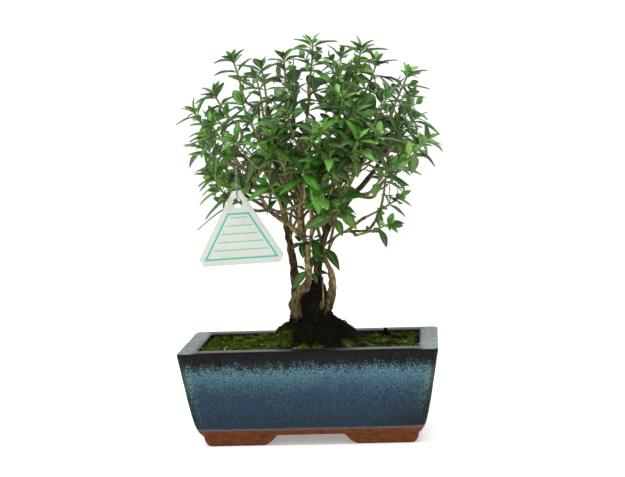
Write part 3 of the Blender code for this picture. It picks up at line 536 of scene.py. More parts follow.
def crumbly(x, y):
    """Where humus lies heaped against the pot's inner edge, from 0 to 1."""
    by_wall = min(POT_HALF_LENGTH - LIP_WIDTH - abs(x), POT_HALF_DEPTH - LIP_WIDTH - abs(y))
    heaps = clipped(0.55 + 3.0 * noise.noise((x / 9, y / 9, 4.4)))
    return clipped((6 - by_wall) / 4) * heaps


def hole_edge(angle):
    """Where the moss goes in under the trunk's skin on one side."""
    z = SOIL_EDGE_Z + MOUND_HEIGHT * 0.7
    for _ in range(12):
        point = trunk_point(angle, z, -INTO_TRUNK)
        z = ground_z(point.x, point.y)
    return trunk_point(angle, z, -INTO_TRUNK)


carpet_edge = rounded_rectangle(
    POT_HALF_LENGTH - LIP_WIDTH - GAP, POT_HALF_DEPTH - LIP_WIDTH - GAP, POT_CORNER, 4, 70, 34)
CARPET_RINGS = 46
upper, lower = [], []
for number in range(CARPET_RINGS + 1):
    share = number / CARPET_RINGS
    high_ring, low_ring = [], []
    for edge_point in carpet_edge:
        inner = hole_edge(math.atan2(edge_point.y, edge_point.x - MOUND_CENTRE.x))
        x = edge_point.x + (inner.x - edge_point.x) * share
        y = edge_point.y + (inner.y - edge_point.y) * share
        z = ground_z(x, y)
        mound = on_mound(x, y)
        lumps = noise.noise((x / 7.5, y / 7.5, 3.1)) * (1.5 + 2.0 * mound)
        lumps += noise.noise((x / 2.8, y / 2.8, 8.0)) * (0.9 + 0.4 * mound)
        rolled = min(1.0, 0.3 + number / 1.5)
        heaped = 1.9 * crumbly(x, y)
        moss_top = z + GAP + 0.5 + (MOSS_THICKNESS - 1.1 + lumps + heaped) * rolled
        high_ring.append(Vector((x, y, moss_top)))
        low_ring.append(Vector((x, y, z + GAP)))
    upper.append(high_ring)
    lower.append(low_ring)
top_points, top_faces = loft(upper, close_ends=False)
count, below = len(carpet_edge), len(top_points)
faces = top_faces + [tuple(below + i for i in reversed(face)) for face in top_faces]
last_ring = below - count
for i in range(count):
    j = (i + 1) % count
    faces.append((below + i, below + j, j, i))
    faces.append((last_ring + i, last_ring + j, below + last_ring + j, below + last_ring + i))
moss_cover = []
for point in top_points:
    mound = on_mound(point.x, point.y)
    patch = noise.noise((point.x / 13.0, point.y / 13.0, 1.7))
    patch += 0.5 * noise.noise((point.x / 4.0, point.y / 4.0, 5.2))
    shoulder = 0.55 * math.exp(-((point.x + 24) / 13) ** 2)
    # The cover falls off to the right of the trunk: thinner moss, with the bare dark ground there also
    # painted as shade
    thinned_and_shaded = 0.42 * clipped((point.x + 5) / 45) * (1 - 0.5 * max(0.0, (point.x - 55) / 30))
    thinned_and_shaded += 0.62 * math.exp(-((point.x - 8) / 24) ** 2)
    green = 0.94 - thinned_and_shaded - (0.85 - 1.5 * shoulder) * mound
    moss_cover.append(clipped(green + 0.9 * patch - 0.75 * crumbly(point.x, point.y)))
moss_cover += [0.0] * below

# Moss is matt and velvety; its leaves of under 1 mm are drawn as a fine speckle of painted light and shade,
# with painted light on the tips
moss, tree, shader = new_material("living_moss")
spot = add(tree, "TexCoord", result="Object")
mm = add(tree, "VectorMath", {0: spot, 1: (1000, 1000, 1000)}, operation="MULTIPLY")
cover = add(tree, "Attribute", attribute_name="moss_cover", result="Fac")
tip = add(tree, "Attribute", attribute_name="tip", result="Fac")
patches = add(tree, "TexNoise", {"Vector": mm, "Scale": 1 / 6.0, "Detail": 5.0, "Roughness": 0.7})
speck = add(tree, "TexNoise", {"Vector": mm, "Scale": 1 / 1.1, "Detail": 2.0})
greens = add(tree, "ValToRGB", {0: patches}, stops=[
    (0.34, "#131a07"), (0.68, "#66831f"), (0.43, "#222f0a"), (0.54, "#39520f")])
withered = add(tree, "TexNoise", {"Vector": mm, "Scale": 1 / 11.0, "Detail": 4.0, "Roughness": 0.7})
withered = add(tree, "MapRange", {"Value": withered, "From Min": 0.54, "From Max": 0.66, "To Max": 0.65})
greens = add(tree, "Mix", {0: withered, 6: greens, 7: linear("#3a3013")}, data_type="RGBA")
humus = add(tree, "ValToRGB", {0: speck}, stops=[
    (0.3, "#080705"), (0.82, "#2d2c14"), (0.52, "#0e0d07"), (0.66, "#191a0b")])
fine = add(tree, "Math", {0: speck, 1: 0.9, 2: -0.45}, operation="MULTIPLY_ADD")
amount = add(tree, "Math", {0: cover, 1: fine}, operation="ADD")
amount = add(tree, "MapRange", {"Value": amount, "From Min": 0.30, "From Max": 0.62})
ground = add(tree, "Mix", {0: amount, 6: humus, 7: greens}, data_type="RGBA")
# Painted light and shade: the colour is scaled darker and brighter in a fine speckle
shaded = add(tree, "MapRange", {
    "Value": speck, "From Min": 0.35, "From Max": 0.65, "To Min": 0.4, "To Max": 1.15})
ground = add(tree, "VectorMath", {0: ground, "Scale": shaded}, operation="SCALE")
sunny = add(tree, "MapRange", {
    "Value": patches, "From Min": 0.42, "From Max": 0.62, "To Min": 0.0, "To Max": 0.7})
# Painted light: tips in the sunny patches are coloured bright green
painted_lit_tips = add(tree, "Math", {0: tip, 1: sunny}, operation="MULTIPLY")
ground = add(tree, "Mix", {0: painted_lit_tips, 6: ground, 7: linear("#769a24")}, data_type="RGBA")
velvet = add(tree, "Bump", {"Strength": 0.7, "Distance": 0.0006, "Height": speck})
plug(shader, {"Base Color": ground, "Normal": velvet, "Roughness": 0.95, "Specular IOR Level": 0.06})

straw, tree, shader = new_material("dry_straw")
spot = add(tree, "TexCoord", result="Object")
faded = add(tree, "TexNoise", {"Vector": spot, "Scale": 200.0})
faded = add(tree, "ValToRGB", {0: faded}, stops=[(0.35, "#8d7a52"), (0.7, "#d8cda8")])
plug(shader, {"Base Color": faded, "Roughness": 0.8})


def tuft(leaflets, spread, seed):
    """A tuft of moss: pointed leaflets that lean out from one root, 1 mm high before scaling."""
    draw = random.Random(seed)
    points, faces, tips = [], [], []
    for k in range(leaflets):
        turn = math.tau * (k + draw.uniform(-0.3, 0.3)) / leaflets
        lean = spread * draw.uniform(0.4, 1.0) if k else 0.05
        out = Vector((math.cos(turn), math.sin(turn), 0))
        side = Vector((-out.y, out.x, 0))
        root = out * 0.1
        top = root + out * math.sin(lean) + UP * math.cos(lean) * draw.uniform(0.75, 1.1)
        first = len(points)
        middle = root.lerp(top, 0.55)
        points += [root - side * 0.14, root + side * 0.14 - UP * 0.02, root - out * 0.16,
                   middle - side * 0.12, middle + side * 0.12, root.lerp(top, 0.5) - out * 0.1, top]
        tips += [0, 0, 0, 0.4, 0.4, 0.4, 1]
        for a, b in ((0, 1), (1, 2), (2, 0)):
            faces.append((first + a, first + b, first + b + 3, first + a + 3))
            faces.append((first + a + 3, first + b + 3, first + 6))
    return points, faces, tips


def crumb(seed):
    """A crumb of humus: a lumpy grain with 20 faces, 1 mm wide before scaling."""
    form = bmesh.new()
    bmesh.ops.create_icosphere(form, subdivisions=1, radius=0.5)
    draw = random.Random(seed)
    for vertex in form.verts:
        vertex.co *= draw.uniform(0.7, 1.25)
    points = [v.co.copy() for v in form.verts]
    faces = [tuple(v.index for v in face.verts) for face in form.faces]
    form.free()
    return points, faces, [0.0] * len(points)


def straw_bit(seed):
    """A bit of straw: a bent, six-sided tube, 1 mm long before scaling."""
    draw = random.Random(seed)
    bend = draw.uniform(0.05, 0.2)
    rings = []
    for k in range(5):
        t = k / 4
        centre = Vector((t - 0.5, bend * (t - 0.5) ** 2 * 4 - bend, 0.03))
        turns = [math.tau * side / 6 for side in range(6)]
        rings.append([centre + Vector((0, math.cos(turn), math.sin(turn))) * 0.028 for turn in turns])
    points, faces = loft(rings)
    return points, faces, [0.0] * len(points)


def new_tree(name, base, inputs):
    """An empty Geometry Nodes tree with named inputs, and the identifier of each input's socket."""
    made = bpy.data.node_groups.new(name, "GeometryNodeTree")
    made.is_modifier = True
    made.interface.new_socket(base, in_out="INPUT", socket_type="NodeSocketGeometry")
    names = {}
    for label, kind in inputs:
        socket = made.interface.new_socket(label, in_out="INPUT", socket_type="NodeSocket" + kind)
        names[label] = socket.identifier
    made.interface.new_socket("Result", in_out="OUTPUT", socket_type="NodeSocketGeometry")
    return made, names


def scatter_tree():
    """Geometry Nodes that scatter copies of one small shape over a surface, where an attribute
    says, and give the copies alone."""
    made, names = new_tree("scatter_on_ground", "Ground", [
        ("Shape", "Object"), ("Finish", "Material"), ("Most per square metre", "Float"), ("Where", "String"),
        ("Smallest", "Float"), ("Largest", "Float"), ("Lean", "Float"), ("Seed", "Int")])
    into = add(made, "NodeGroupInput").node.outputs
    where = add(made, "GeometryNodeInputNamedAttribute", {"Name": into["Where"]}, data_type="FLOAT")
    amount = add(made, "Math", {0: where, 1: into["Most per square metre"]}, operation="MULTIPLY")
    spots = add(made, "GeometryNodeDistributePointsOnFaces", {
        "Mesh": into["Ground"], "Density": amount, "Seed": into["Seed"]}).node.outputs
    size = add(made, "FunctionNodeRandomValue", {
        2: into["Smallest"], 3: into["Largest"], "Seed": into["Seed"]}, data_type="FLOAT")
    low = add(made, "Math", {0: into["Lean"], 1: -1.0}, operation="MULTIPLY")
    low = add(made, "CombineXYZ", {0: low, 1: low, 2: 0.0})
    high = add(made, "CombineXYZ", {0: into["Lean"], 1: into["Lean"], 2: math.tau})
    turn = add(made, "FunctionNodeRandomValue", {
        0: low, 1: high, "Seed": into["Seed"]}, data_type="FLOAT_VECTOR")
    turned = add(made, "FunctionNodeRotateRotation", {0: spots["Rotation"], 1: turn}, rotation_space="LOCAL")
    shape = add(made, "GeometryNodeObjectInfo", {"Object": into["Shape"]}, result="Geometry")
    copies = add(made, "GeometryNodeInstanceOnPoints", {
        "Points": spots["Points"], "Instance": shape, "Rotation": turned, "Scale": size})
    plain = add(made, "GeometryNodeRealizeInstances", {"Geometry": copies})
    done = add(made, "GeometryNodeSetMaterial", {"Geometry": plain, "Material": into["Finish"]})
    add(made, "NodeGroupOutput", {0: done})
    return made, names


def grown(name, mesh, nodes, values):
    """A new object with the plain mesh that a tree of Geometry Nodes makes from another mesh. The
    values go in by the sockets' identifiers before the tree is first evaluated."""
    base = bpy.data.objects.new(name, mesh)
    scene.collection.objects.link(base)
    growth = base.modifiers.new("growth", "NODES")
    growth.node_group, names = nodes
    for key, value in values.items():
        growth[names[key]] = value
    make_plain(base)
    return base


def mark(mesh, name, values, kind="FLOAT", field="value"):
    """Gives each point of a mesh its value of an attribute."""
    mesh.attributes.new(name, kind, "POINT").data.foreach_set(field, values)


def helper(name, shape, marks):
    """An object that a tree copies, with attributes on its points, and no place of its own."""
    mesh = bpy.data.meshes.new(name)
    mesh.from_pydata([Vector(p) * MM for p in shape[0]], [], shape[1])
    for key, values in marks.items():
        mark(mesh, key, [float(v) for v in values])
    for face in mesh.polygons:
        face.use_smooth = True
    return bpy.data.objects.new(name, mesh)


carpet = new_piece("moss_carpet", (top_points + [p for ring in lower for p in ring], faces), [moss], sharp=60)
mark(carpet.data, "moss_cover", moss_cover)
mark(carpet.data, "tip", [0.0] * len(moss_cover))
mark(carpet.data, "humus_cover", [max(0.0, 0.8 - 1.4 * c) for c in moss_cover[:below]] + [0.0] * below)
mark(carpet.data, "anywhere", [1.0] * (below - count) + [0.0] * (below + count))
scatter = scatter_tree()


def scattered(name, shape, finish, most, where, smallest, largest, lean, seed):
    """Copies of one small shape over the carpet: how many per square metre at most, the attribute
    that says where, their sizes and how far they lean in radians."""
    points, faces, tips = shape
    return grown(name, carpet.data.copy(), scatter, {
        "Shape": helper(f"{name}_shape", (points, faces), {"tip": tips}), "Finish": finish,
        "Most per square metre": most,
        "Where": where, "Smallest": smallest, "Largest": largest, "Lean": lean, "Seed": seed})


def joined_to(points, faces, more_points, more_faces):
    """Adds a shape's points and faces to those of a bigger one."""
    first = len(points)
    points += more_points
    faces += [tuple(first + i for i in face) for face in more_faces]


tufts = []
for kind, (leaflets, spread) in enumerate(((7, 0.9), (6, 0.6), (8, 1.2))):
    shape = tuft(leaflets, spread, MOSS_SEED + kind)
    tufts.append(scattered(
        f"moss_tips_{kind + 1}", shape, moss, 95000.0, "moss_cover", 0.7, 1.8, 0.35, MOSS_SEED + kind))
crumbs = scattered(
    "humus_crumbs", crumb(MOSS_SEED), moss, 210000.0, "humus_cover", 0.5, 2.2, 0.6, MOSS_SEED + 5)
straws = scattered(
    "straw_bits", straw_bit(MOSS_SEED), straw, 2600.0, "anywhere", 4.0, 9.0, 0.25, MOSS_SEED + 9)
# Single things that stand up from the moss: a pale stub, a dry wisp and a small heap of humus
STUB_FOOT, WISP_FOOT = Vector((-63.9, -34.0, 72.0)), Vector((30.0, 0.0, 84.5))
HEAP_CENTRE, HEAP_HEIGHT, HEAP_CRUMBS = Vector((58.0, 36.0, 73.5)), 4.6, 12
stray_points, stray_faces = [], []
for foot_at, high, thick, bend in ((STUB_FOOT, 5.0, 22.0, 2.0), (WISP_FOOT, 9.0, 6.0, 14.0)):
    points, bit_faces, _ = straw_bit(MOSS_SEED)
    points = [foot_at + Vector((p.y * thick + bend * p.x * p.x, p.z * thick, (p.x + 0.5) * high))
              for p in points]
    joined_to(stray_points, stray_faces, points, bit_faces)
dry_faces = len(stray_faces)
draw = random.Random(MOSS_SEED)
for number in range(HEAP_CRUMBS):
    points, crumb_faces, _ = crumb(MOSS_SEED + number)
    size, level = draw.uniform(3.0, 4.6), draw.uniform(0, 1)
    x, y = draw.uniform(-3, 3) * (1 - level), draw.uniform(-2.5, 2.5) * (1 - level)
    place = HEAP_CENTRE + Vector((x, y, HEAP_HEIGHT * level))
    joined_to(stray_points, stray_faces, [place + p * size for p in points], crumb_faces)
stray = new_piece("stray_bits", (stray_points, stray_faces), [straw, moss], sharp=70)
for face in stray.data.polygons[dry_faces:]:
    face.material_index = 1
for piece in [carpet, *tufts, crumbs, straws, stray]:
    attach(piece, "root")
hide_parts("moss")


# The wood: the flared trunk, its stems, limbs and twigs, grown as one piece. Serissa bark is thin,
# grey-brown and rough on old wood, darker where soil and damp stained it and where shade is painted
# low on the trunk and between its ridges, and olive on young twigs.
# Trunk and limbs are fused into one skin, and the twigs grow out of it.
LIMBS = {  # sides in the CAD model, first and last radius, and the route
    "left_stem": (5, 3.5, 1.4, [
        (-9, 6, 98), (-12, 9, 118), (-13, 11, 134), (-16, 12, 153), (-18, 13, 167), (-21, 14, 184),
        (-24, 16, 206), (-26, 17, 236), (-30, 16, 262)]),
    "left_fork": (4, 2.0, 1.2, [(-20, 14, 180), (-30, 16, 204), (-36, 15, 236), (-37, 12, 266)]),
    "front_stem": (5, 3.3, 1.2, [
        (-8, -4, 96), (-6, -7, 112), (0, -9, 126), (0, -9, 138), (0, -8, 149), (-3, -8, 158),
        (-6, -8, 168), (-5, -9, 180), (-3, -10, 192), (0, -10, 215), (2, -8, 245), (6, -6, 274)]),
    "tag_limb": (4, 2.7, 1.3, [
        (-2, -8, 155), (-11, -11, 166), (-19, -15, 173), (-27, -20, 180), (-33, -26, 190),
        (-38, -32, 204), (-44, -39, 214), (-51, -44, 217), (-60, -48, 220)]),
    "thin_stem": (4, 1.7, 1.1, [
        (1, -9, 149), (3, -12, 160), (4, -16, 172), (4, -20, 181), (6, -28, 197), (8, -38, 216)]),
    "curved_stem": (5, 3.2, 1.3, [
        (12, -2, 94), (17, -3, 108), (19, -4, 121), (17, -4, 131), (13, -2, 140), (11, 3, 150),
        (13, 11, 163), (16, 21, 179), (22, 32, 202), (28, 42, 228)]),
    "right_stem": (5, 3.9, 1.3, [
        (5, 3, 100), (6, 4, 120), (7, 3, 136), (10, 0, 149), (14, -1, 160), (19, -2, 170),
        (26, -4, 178), (34, -6, 187), (45, -8, 199), (57, -10, 213), (67, -11, 230)]),
    "right_fork": (4, 2.2, 1.1, [(13, -1, 158), (21, 4, 180), (27, 8, 205), (35, 10, 235), (41, 10, 262)]),
    "front_fork": (4, 2.0, 1.1, [(18, -2, 168), (28, -13, 184), (36, -27, 201), (42, -41, 221)]),
    "low_limb": (4, 1.6, 1.0, [
        (12, -2, 137), (16, -6, 147), (21, -9, 157), (30, -14, 162), (44, -22, 163), (54, -30, 163)]),
    "back_stem": (5, 3.1, 1.2, [
        (1, 6, 104), (-1, 10, 122), (-3, 14, 142), (-5, 20, 160), (-7, 30, 181), (-9, 42, 205),
        (-9, 53, 230)]),
}
# The ends of the leafy shoots, and the levels of the crown's back: height, radius and how many
SHOOT_ENDS = [
    (-56, 10, 300), (-69, -15, 273), (-90, 24, 259), (-70, -36, 250), (-80, -6, 240), (-90, 57, 230),
    (-72, -24, 211), (-66, -34, 200), (-31, -20, 293), (-16, 16, 300), (9, -6, 311),
    (47, -14, 304), (58, 14, 294), (83, -2, 284), (83, 38, 266), (88, -12, 250), (96, -36, 233),
    (73, 14, 214), (74, -26, 189), (66, -44, 170), (42, -64, 258), (45, -76, 236), (3, -72, 214),
    (28, -36, 288), (-5, -54, 273), (-44, -46, 266), (-48, -64, 238), (-20, -76, 240), (18, -84, 244),
    (68, -56, 214), (-24, -62, 204), (34, -60, 194), (15, -72, 196), (24, -82, 226), (60, -60, 238),
    (34, -66, 268), (-36, -66, 252), (30, 16, 301), (66, -28, 266), (-8, -72, 257),
]
BACK_LEVELS = [(214.0, 80.0, 4), (250.0, 82.0, 4), (284.0, 58.0, 2)]
CROWN_HEART = Vector((4, 0, 160))
CROWN_SEED = 41
SHOOT_LENGTH, SHOOT_RADIUS, SHOOT_TIP_RADIUS, TWIG_END_RADIUS = 33.0, 0.95, 0.7, 1.15
# Pairs of leaves: from where to where along the shoot they sit, their lean in degrees, and length
LEAF_PAIRS = [
    (0.40, 0.44, 72, 17.0), (0.65, 0.69, 68, 21.0), (0.865, 0.91, 60, 20.0), (0.91, 0.955, 46, 17.0),
    (0.955, 1.0, 26, 11.5),
]
LEAF_WIDTH_SHARE, ROUND_LEAF_WIDTH_SHARE, ROUND_LEAF_LENGTH_SHARE = 0.36, 0.62, 0.62
LOW_SHOOT_Z = 200.0
LEAF_ARCH, LEAF_SAG, LEAF_TO_LIGHT = 0.20, 0.10, 0.6
LEAST_LEAN, MOST_LEAN, LEAF_TRIES, CLEAR_MARGIN = 0.55, 1.75, 6, 0.35
FIRST_TWIG_Z, TRUNK_FORK_Z, TWIG_STEP, TWIG_END_STEP = 150.0, 95.0, 21.0, 2.5


def frames_along(route):
    """A pair of cross directions at each point of a route, turned as little as possible."""
    tangents = []
    for i in range(len(route)):
        ahead = route[min(i + 1, len(route) - 1)]
        behind = route[max(i - 1, 0)]
        tangents.append((ahead - behind).normalized())
    side = tangents[0].orthogonal().normalized()
    frames = []
    for tangent in tangents:
        side = (side - tangent * side.dot(tangent)).normalized()
        frames.append((side, tangent.cross(side)))
    return frames


def tube_rings(route, radii, sides, turn=0.0):
    """The cross-sections of a tube along a route."""
    rings = []
    for point, radius, (side, other) in zip(route, radii, frames_along(route)):
        ring = []
        for k in range(sides):
            angle = turn + math.tau * k / sides
            ring.append(point + (side * math.cos(angle) + other * math.sin(angle)) * radius)
        rings.append(ring)
    return rings


def split_loft(rings):
    """A closed tube skin in triangles, for the tests of what touches what."""
    count = len(rings[0])
    points = [p for ring in rings for p in ring]
    faces = []
    for level in range(len(rings) - 1):
        low, high = level * count, (level + 1) * count
        for i in range(count):
            j = (i + 1) % count
            faces += [(low + i, low + j, high + j), (low + i, high + j, high + i)]
    faces.append(tuple(reversed(range(count))))
    faces.append(tuple(range(len(points) - count, len(points))))
    return points, faces


def through(points):
    """A smooth curve through given points, as a function of 0 to 1."""
    points = [Vector(p) for p in points]
    points = [points[0] * 2 - points[1]] + points + [points[-1] * 2 - points[-2]]
    spans = len(points) - 3

    def at(t):
        i = min(int(t * spans), spans - 1)
        s = t * spans - i
        p0, p1, p2, p3 = points[i:i + 4]
        bend = (2 * p0 - 5 * p1 + 4 * p2 - p3) * s ** 2 + (3 * p1 - p0 - 3 * p2 + p3) * s ** 3
        return (2 * p1 + (p2 - p0) * s + bend) / 2

    return at


def bezier(start, start_way, end, end_way):
    """A curve that leaves and arrives in the given directions, as a function of 0 to 1."""
    pull = (end - start).length * 0.38
    near, far = start + start_way * pull, end - end_way * pull

    def at(t):
        s = 1 - t
        return start * s ** 3 + near * 3 * s * s * t + far * 3 * s * t * t + end * t ** 3

    return at


class Shoot:
    """The plan of one leafy shoot: its stem, and the ways that each of its leaves could go."""

    def __init__(self, number, end, way):
        draw = random.Random(CROWN_SEED * 1000 + number)
        bend = Vector((draw.uniform(-1, 1), draw.uniform(-1, 1), draw.uniform(-0.6, 0.1)))
        root_way = (way + bend * 0.28 - UP * 0.1).normalized()
        self.root = end - (way + root_way) * SHOOT_LENGTH / 2
        self.low = end.z < LOW_SHOOT_Z
        self.at = bezier(self.root, root_way, end, way)
        stations = sorted({0.0}.union(*(pair[:2] for pair in LEAF_PAIRS)))
        self.route = [self.at(t) for t in stations]
        self.root_way = (self.route[1] - self.root).normalized()
        self.radii = [SHOOT_RADIUS + (SHOOT_TIP_RADIUS - SHOOT_RADIUS) * t for t in stations]
        self.rings = tube_rings(self.route, self.radii, 4, draw.uniform(0, math.tau))
        self.leaves = {}
        for number, pair in enumerate(LEAF_PAIRS):
            for opposite in (0, 2):
                face = (stations.index(pair[0]), (number + opposite) % 4)
                self.leaves[face] = self.leaf_choices(pair, face, draw)

    def stem_tree(self, margin=0.0):
        """A search tree of the stem, with a margin round it."""
        radii = [radius + margin for radius in self.radii]
        return BVHTree.FromPolygons(*split_loft(tube_rings(self.route, radii, 6)))

    def leaf_choices(self, pair, face, draw):
        """Ways for one leaf, the best first: root, direction, upper side, length, half-width."""
        level, k = face
        low_ring, high_ring, j = self.rings[level], self.rings[level + 1], (k + 1) % 4
        _, _, angle, length = pair
        root = sum([low_ring[k], low_ring[j], high_ring[j], high_ring[k]], Vector()) / 4
        low, high = self.route[face[0]:face[0] + 2]
        along = (high - low).normalized()
        out = root - (low + high) / 2
        out = (out - along * out.dot(along)).normalized()
        length *= draw.uniform(0.82, 1.18)
        share = LEAF_WIDTH_SHARE * draw.uniform(0.85, 1.15)
        if self.low and angle > 40:
            length *= ROUND_LEAF_LENGTH_SHARE
            share = ROUND_LEAF_WIDTH_SHARE
        choices = []
        for k in range(LEAF_TRIES):
            spread = 0.16 + 0.13 * k
            lean = math.radians(angle) + draw.uniform(-spread, spread)
            turned = Matrix.Rotation(draw.uniform(-spread, spread), 3, along) @ out
            lean = max(LEAST_LEAN if angle > 40 else 0.3, min(MOST_LEAN, lean))
            way = along * math.cos(lean) + turned * math.sin(lean)
            up = (along - way * along.dot(way)).normalized()
            up = (up + (UP - way * way.z) * LEAF_TO_LIGHT).normalized()
            choices.append((root, way, up, length, length * share / 2))
        return choices


def shoot_plans():
    """Every leafy shoot: the front and outline listed one by one, and the back by levels."""
    draw = random.Random(CROWN_SEED)
    ends = [Vector(p) for p in SHOOT_ENDS]
    for z, radius, count in BACK_LEVELS:
        for k in range(count):
            turn = math.pi * (k + 0.5) / count + draw.uniform(-0.12, 0.12)
            far = radius * draw.uniform(0.94, 1.04)
            ends.append(Vector((far * math.cos(turn), far * math.sin(turn) + 6, z + draw.uniform(-6, 6))))
    shoots = []
    for number, end in enumerate(ends):
        way = ((end - CROWN_HEART).normalized() + UP * 0.25).normalized()
        shoots.append(Shoot(number, end, way))
    return shoots


def grow_wood(shoots):
    """Each limb and twig: its curve, where along it its rings stand, its sides, and its first and
    last radius. The twig to a shoot starts on wood that is near, without doubling back, going a
    long way round or crossing a shoot, as in the CAD model."""
    branches, joints = [], []
    wide = [shoot.stem_tree(CLEAR_MARGIN) for shoot in shoots]

    def add_branch(at, places, sides, first, last, reach):
        branches.append((at, places, sides, first, last))
        for here, there in zip(places, places[1:]):
            low, high = at(here), at(there)
            for share in (1 / 3, 2 / 3, 1):
                point = low.lerp(high, share)
                radius = first + (last - first) * (here + (there - here) * share)
                if point.z > FIRST_TWIG_Z:
                    passed = reach + (point - low).length
                    joints.append((point, (high - low).normalized(), radius, passed))
            reach += (high - low).length

    def cost(joint, end):
        point, way, _, reach = joint
        to = end - point
        if to.length < 8 or to.z < -4:
            return math.inf
        return to.length * (1.9 - 0.9 * to.normalized().dot(way)) + 0.25 * reach

    def twig(joint, end, end_way):
        point, way, radius, reach = joint
        length = (end - point).length
        first = max(TWIG_END_RADIUS + 0.1, min(radius * 0.8, 1.2 + length / 100))
        steps = max(2, round(length / TWIG_STEP))
        places = [k / steps for k in range(steps)] + [1 - TWIG_END_STEP / length, 1]
        return bezier(point, way, end, end_way), places, 3, first, TWIG_END_RADIUS

    for sides, first, last, points in LIMBS.values():
        steps = len(points) - 1
        places = [k / steps for k in range(steps + 1)]
        add_branch(through(points), places, sides, first, last, points[0][2] - TRUNK_FORK_Z)
    for shoot in sorted(shoots, key=lambda s: (s.root - CROWN_HEART).length):
        end = shoot.root - shoot.root_way * GAP
        others = [tree for other, tree in zip(shoots, wide) if other is not shoot]
        others.append(shoot.stem_tree())
        for joint in sorted(joints, key=lambda joint: cost(joint, end)):
            planned = twig(joint, end, shoot.root_way)
            at, places, sides, first, last = planned
            radii = [first + (last - first) * t for t in places]
            test = BVHTree.FromPolygons(*split_loft(tube_rings([at(t) for t in places], radii, sides)))
            if not any(test.overlap(tree) for tree in others):
                break
        add_branch(*planned, joint[3])
    return branches


def branch_line(plan, step, knots, seed):
    """Points along a branch about one step apart, with the radius at each, swollen a little at
    the nodes where leaves once sat."""
    at, _, _, first, last = plan
    rough = [at(k / 40) for k in range(41)]
    length = sum((b - a).length for a, b in zip(rough, rough[1:]))
    count = max(4, round(length / step))
    draw = random.Random(seed)
    node_at = [draw.uniform(4, 12)]
    while node_at[-1] < length:
        node_at.append(node_at[-1] + draw.uniform(8, 15))
    line = []
    for k in range(count + 1):
        t = k / count
        passed = t * length
        swell = sum(math.exp(-((passed - n) / 1.3) ** 2) for n in node_at)
        uneven = noise.noise((passed / 9.0, seed * 3.7, 0.5)) * 0.12
        line.append((at(t), (first + (last - first) * t) * (1 + knots * min(1.0, swell) + uneven)))
    return line


# Roots and stems that run down over the trunk as ridges: radii at both ends, and the route
RIDGES = {
    "left_ridge": (2.5, 4.3, [
        (0, -9, 130), (-1.7, -10, 120.5), (-8, -10.5, 116), (-12.2, -9.5, 108), (-11.8, -9.5, 99),
        (-11, -10, 91), (-12, -10, 80)]),
    "left_back_ridge": (3.2, 4.6, [
        (-13, 10, 124), (-12.5, 8, 112), (-12.5, 5, 101), (-13, 5, 90), (-13, 5, 78)]),
    "right_ridge": (2.5, 3.6, [
        (17.2, -4, 130), (18.2, -4, 122), (16.4, -5, 110), (13.8, -7.5, 100), (12.4, -9, 91), (13, -10, 80)]),
    "pale_root": (0.9, 1.1, [
        (10.6, -6.5, 127), (10.9, -8.5, 120), (11, -9.6, 113), (10.6, -9.6, 107), (9, -8, 100)]),
    "back_ridge": (2.8, 4.0, [(1, 7, 118), (2, 9, 108), (4, 11, 98), (5, 12, 86), (5, 12, 76)]),
}
# Pale, tan bark is found on the front stems, and dark bark on those behind
PALE_STEMS = {
    "front_stem": 1.0, "tag_limb": 0.6, "thin_stem": 1.0, "curved_stem": 0.55, "low_limb": 0.5,
    "front_fork": 0.5, "left_ridge": 0.32, "left_back_ridge": 0.1, "right_ridge": 0.25, "pale_root": 0.85,
}
# How thick each limb is next to the CAD model's: less, but for the left one, as the photograph shows
SLIMNESS = {"left_stem": 1.08, "front_stem": 0.92, "curved_stem": 0.82, "right_stem": 0.95, "back_stem": 0.9}
OTHER_SLIMNESS, THINNEST_LIMB = 0.78, 1.25

shoots = shoot_plans()
branches = grow_wood(shoots)
limb_count = len(LIMBS)
trunk_rings = []
TRUNK_FOOT_Z, TRUNK_STEPS, TRUNK_SIDES = 50.0, 46, 72
for level in range(TRUNK_STEPS + 1):
    z = TRUNK_FOOT_Z + (TRUNK[-1][0] - TRUNK_FOOT_Z) * level / TRUNK_STEPS
    ring = []
    for k in range(TRUNK_SIDES):
        angle = math.tau * k / TRUNK_SIDES
        cord_like = noise.noise((math.cos(angle) * 2.2, math.sin(angle) * 2.2, z / 40.0)) * 2.0
        knobs = noise.noise((math.cos(angle) * 3.0, math.sin(angle) * 3.0, z / 9.0)) * 1.1
        ring.append(trunk_point(angle, z, (cord_like + knobs) * min(1.0, (TRUNK[-1][0] - z) / 12.0)))
    trunk_rings.append(ring)
heavy_points, heavy_faces = loft(trunk_rings)
LINE_STEP, LIMB_KNOTS, TWIG_KNOTS = 1.6, 0.12, 0.16
wood_lines = []
for number, plan in enumerate(branches):
    wood_lines.append(branch_line(plan, LINE_STEP, LIMB_KNOTS if number < limb_count else TWIG_KNOTS, number))
for number, name in enumerate(LIMBS):
    slim = SLIMNESS.get(name, OTHER_SLIMNESS)
    wood_lines[number] = [(p, max(THINNEST_LIMB, r * slim)) for p, r in wood_lines[number]]
# Thin stems that fan out from the limbs into the crown, as where it was pinched back
FAN_STEMS, FAN_LOWEST_Z, FAN_HIGHEST_Z = 46, 146, 192
draw = random.Random(CROWN_SEED + 3)
starts = [(line, k) for line in wood_lines[:limb_count] for k in range(1, len(line) - 1)
          if FAN_LOWEST_Z < line[k][0].z < FAN_HIGHEST_Z]
for number in range(FAN_STEMS):
    line, k = draw.choice(starts)
    start, along = line[k][0], (line[k + 1][0] - line[k][0]).normalized()
    turn, far = draw.uniform(0, math.tau), draw.uniform(0.45, 1.0)
    end_z = draw.uniform(214, 272) - 26 * far
    end = Vector((6 + 66 * far * math.cos(turn), -8 + 50 * far * math.sin(turn), end_z))
    way = ((end - start).normalized() + UP * 0.5).normalized()
    plan = (bezier(start, (along + way).normalized(), end, way), None, None, 1.15, 0.7)
    wood_lines.append(branch_line(plan, 2.2, 0.14, 300 + number))
ridge_lines = []
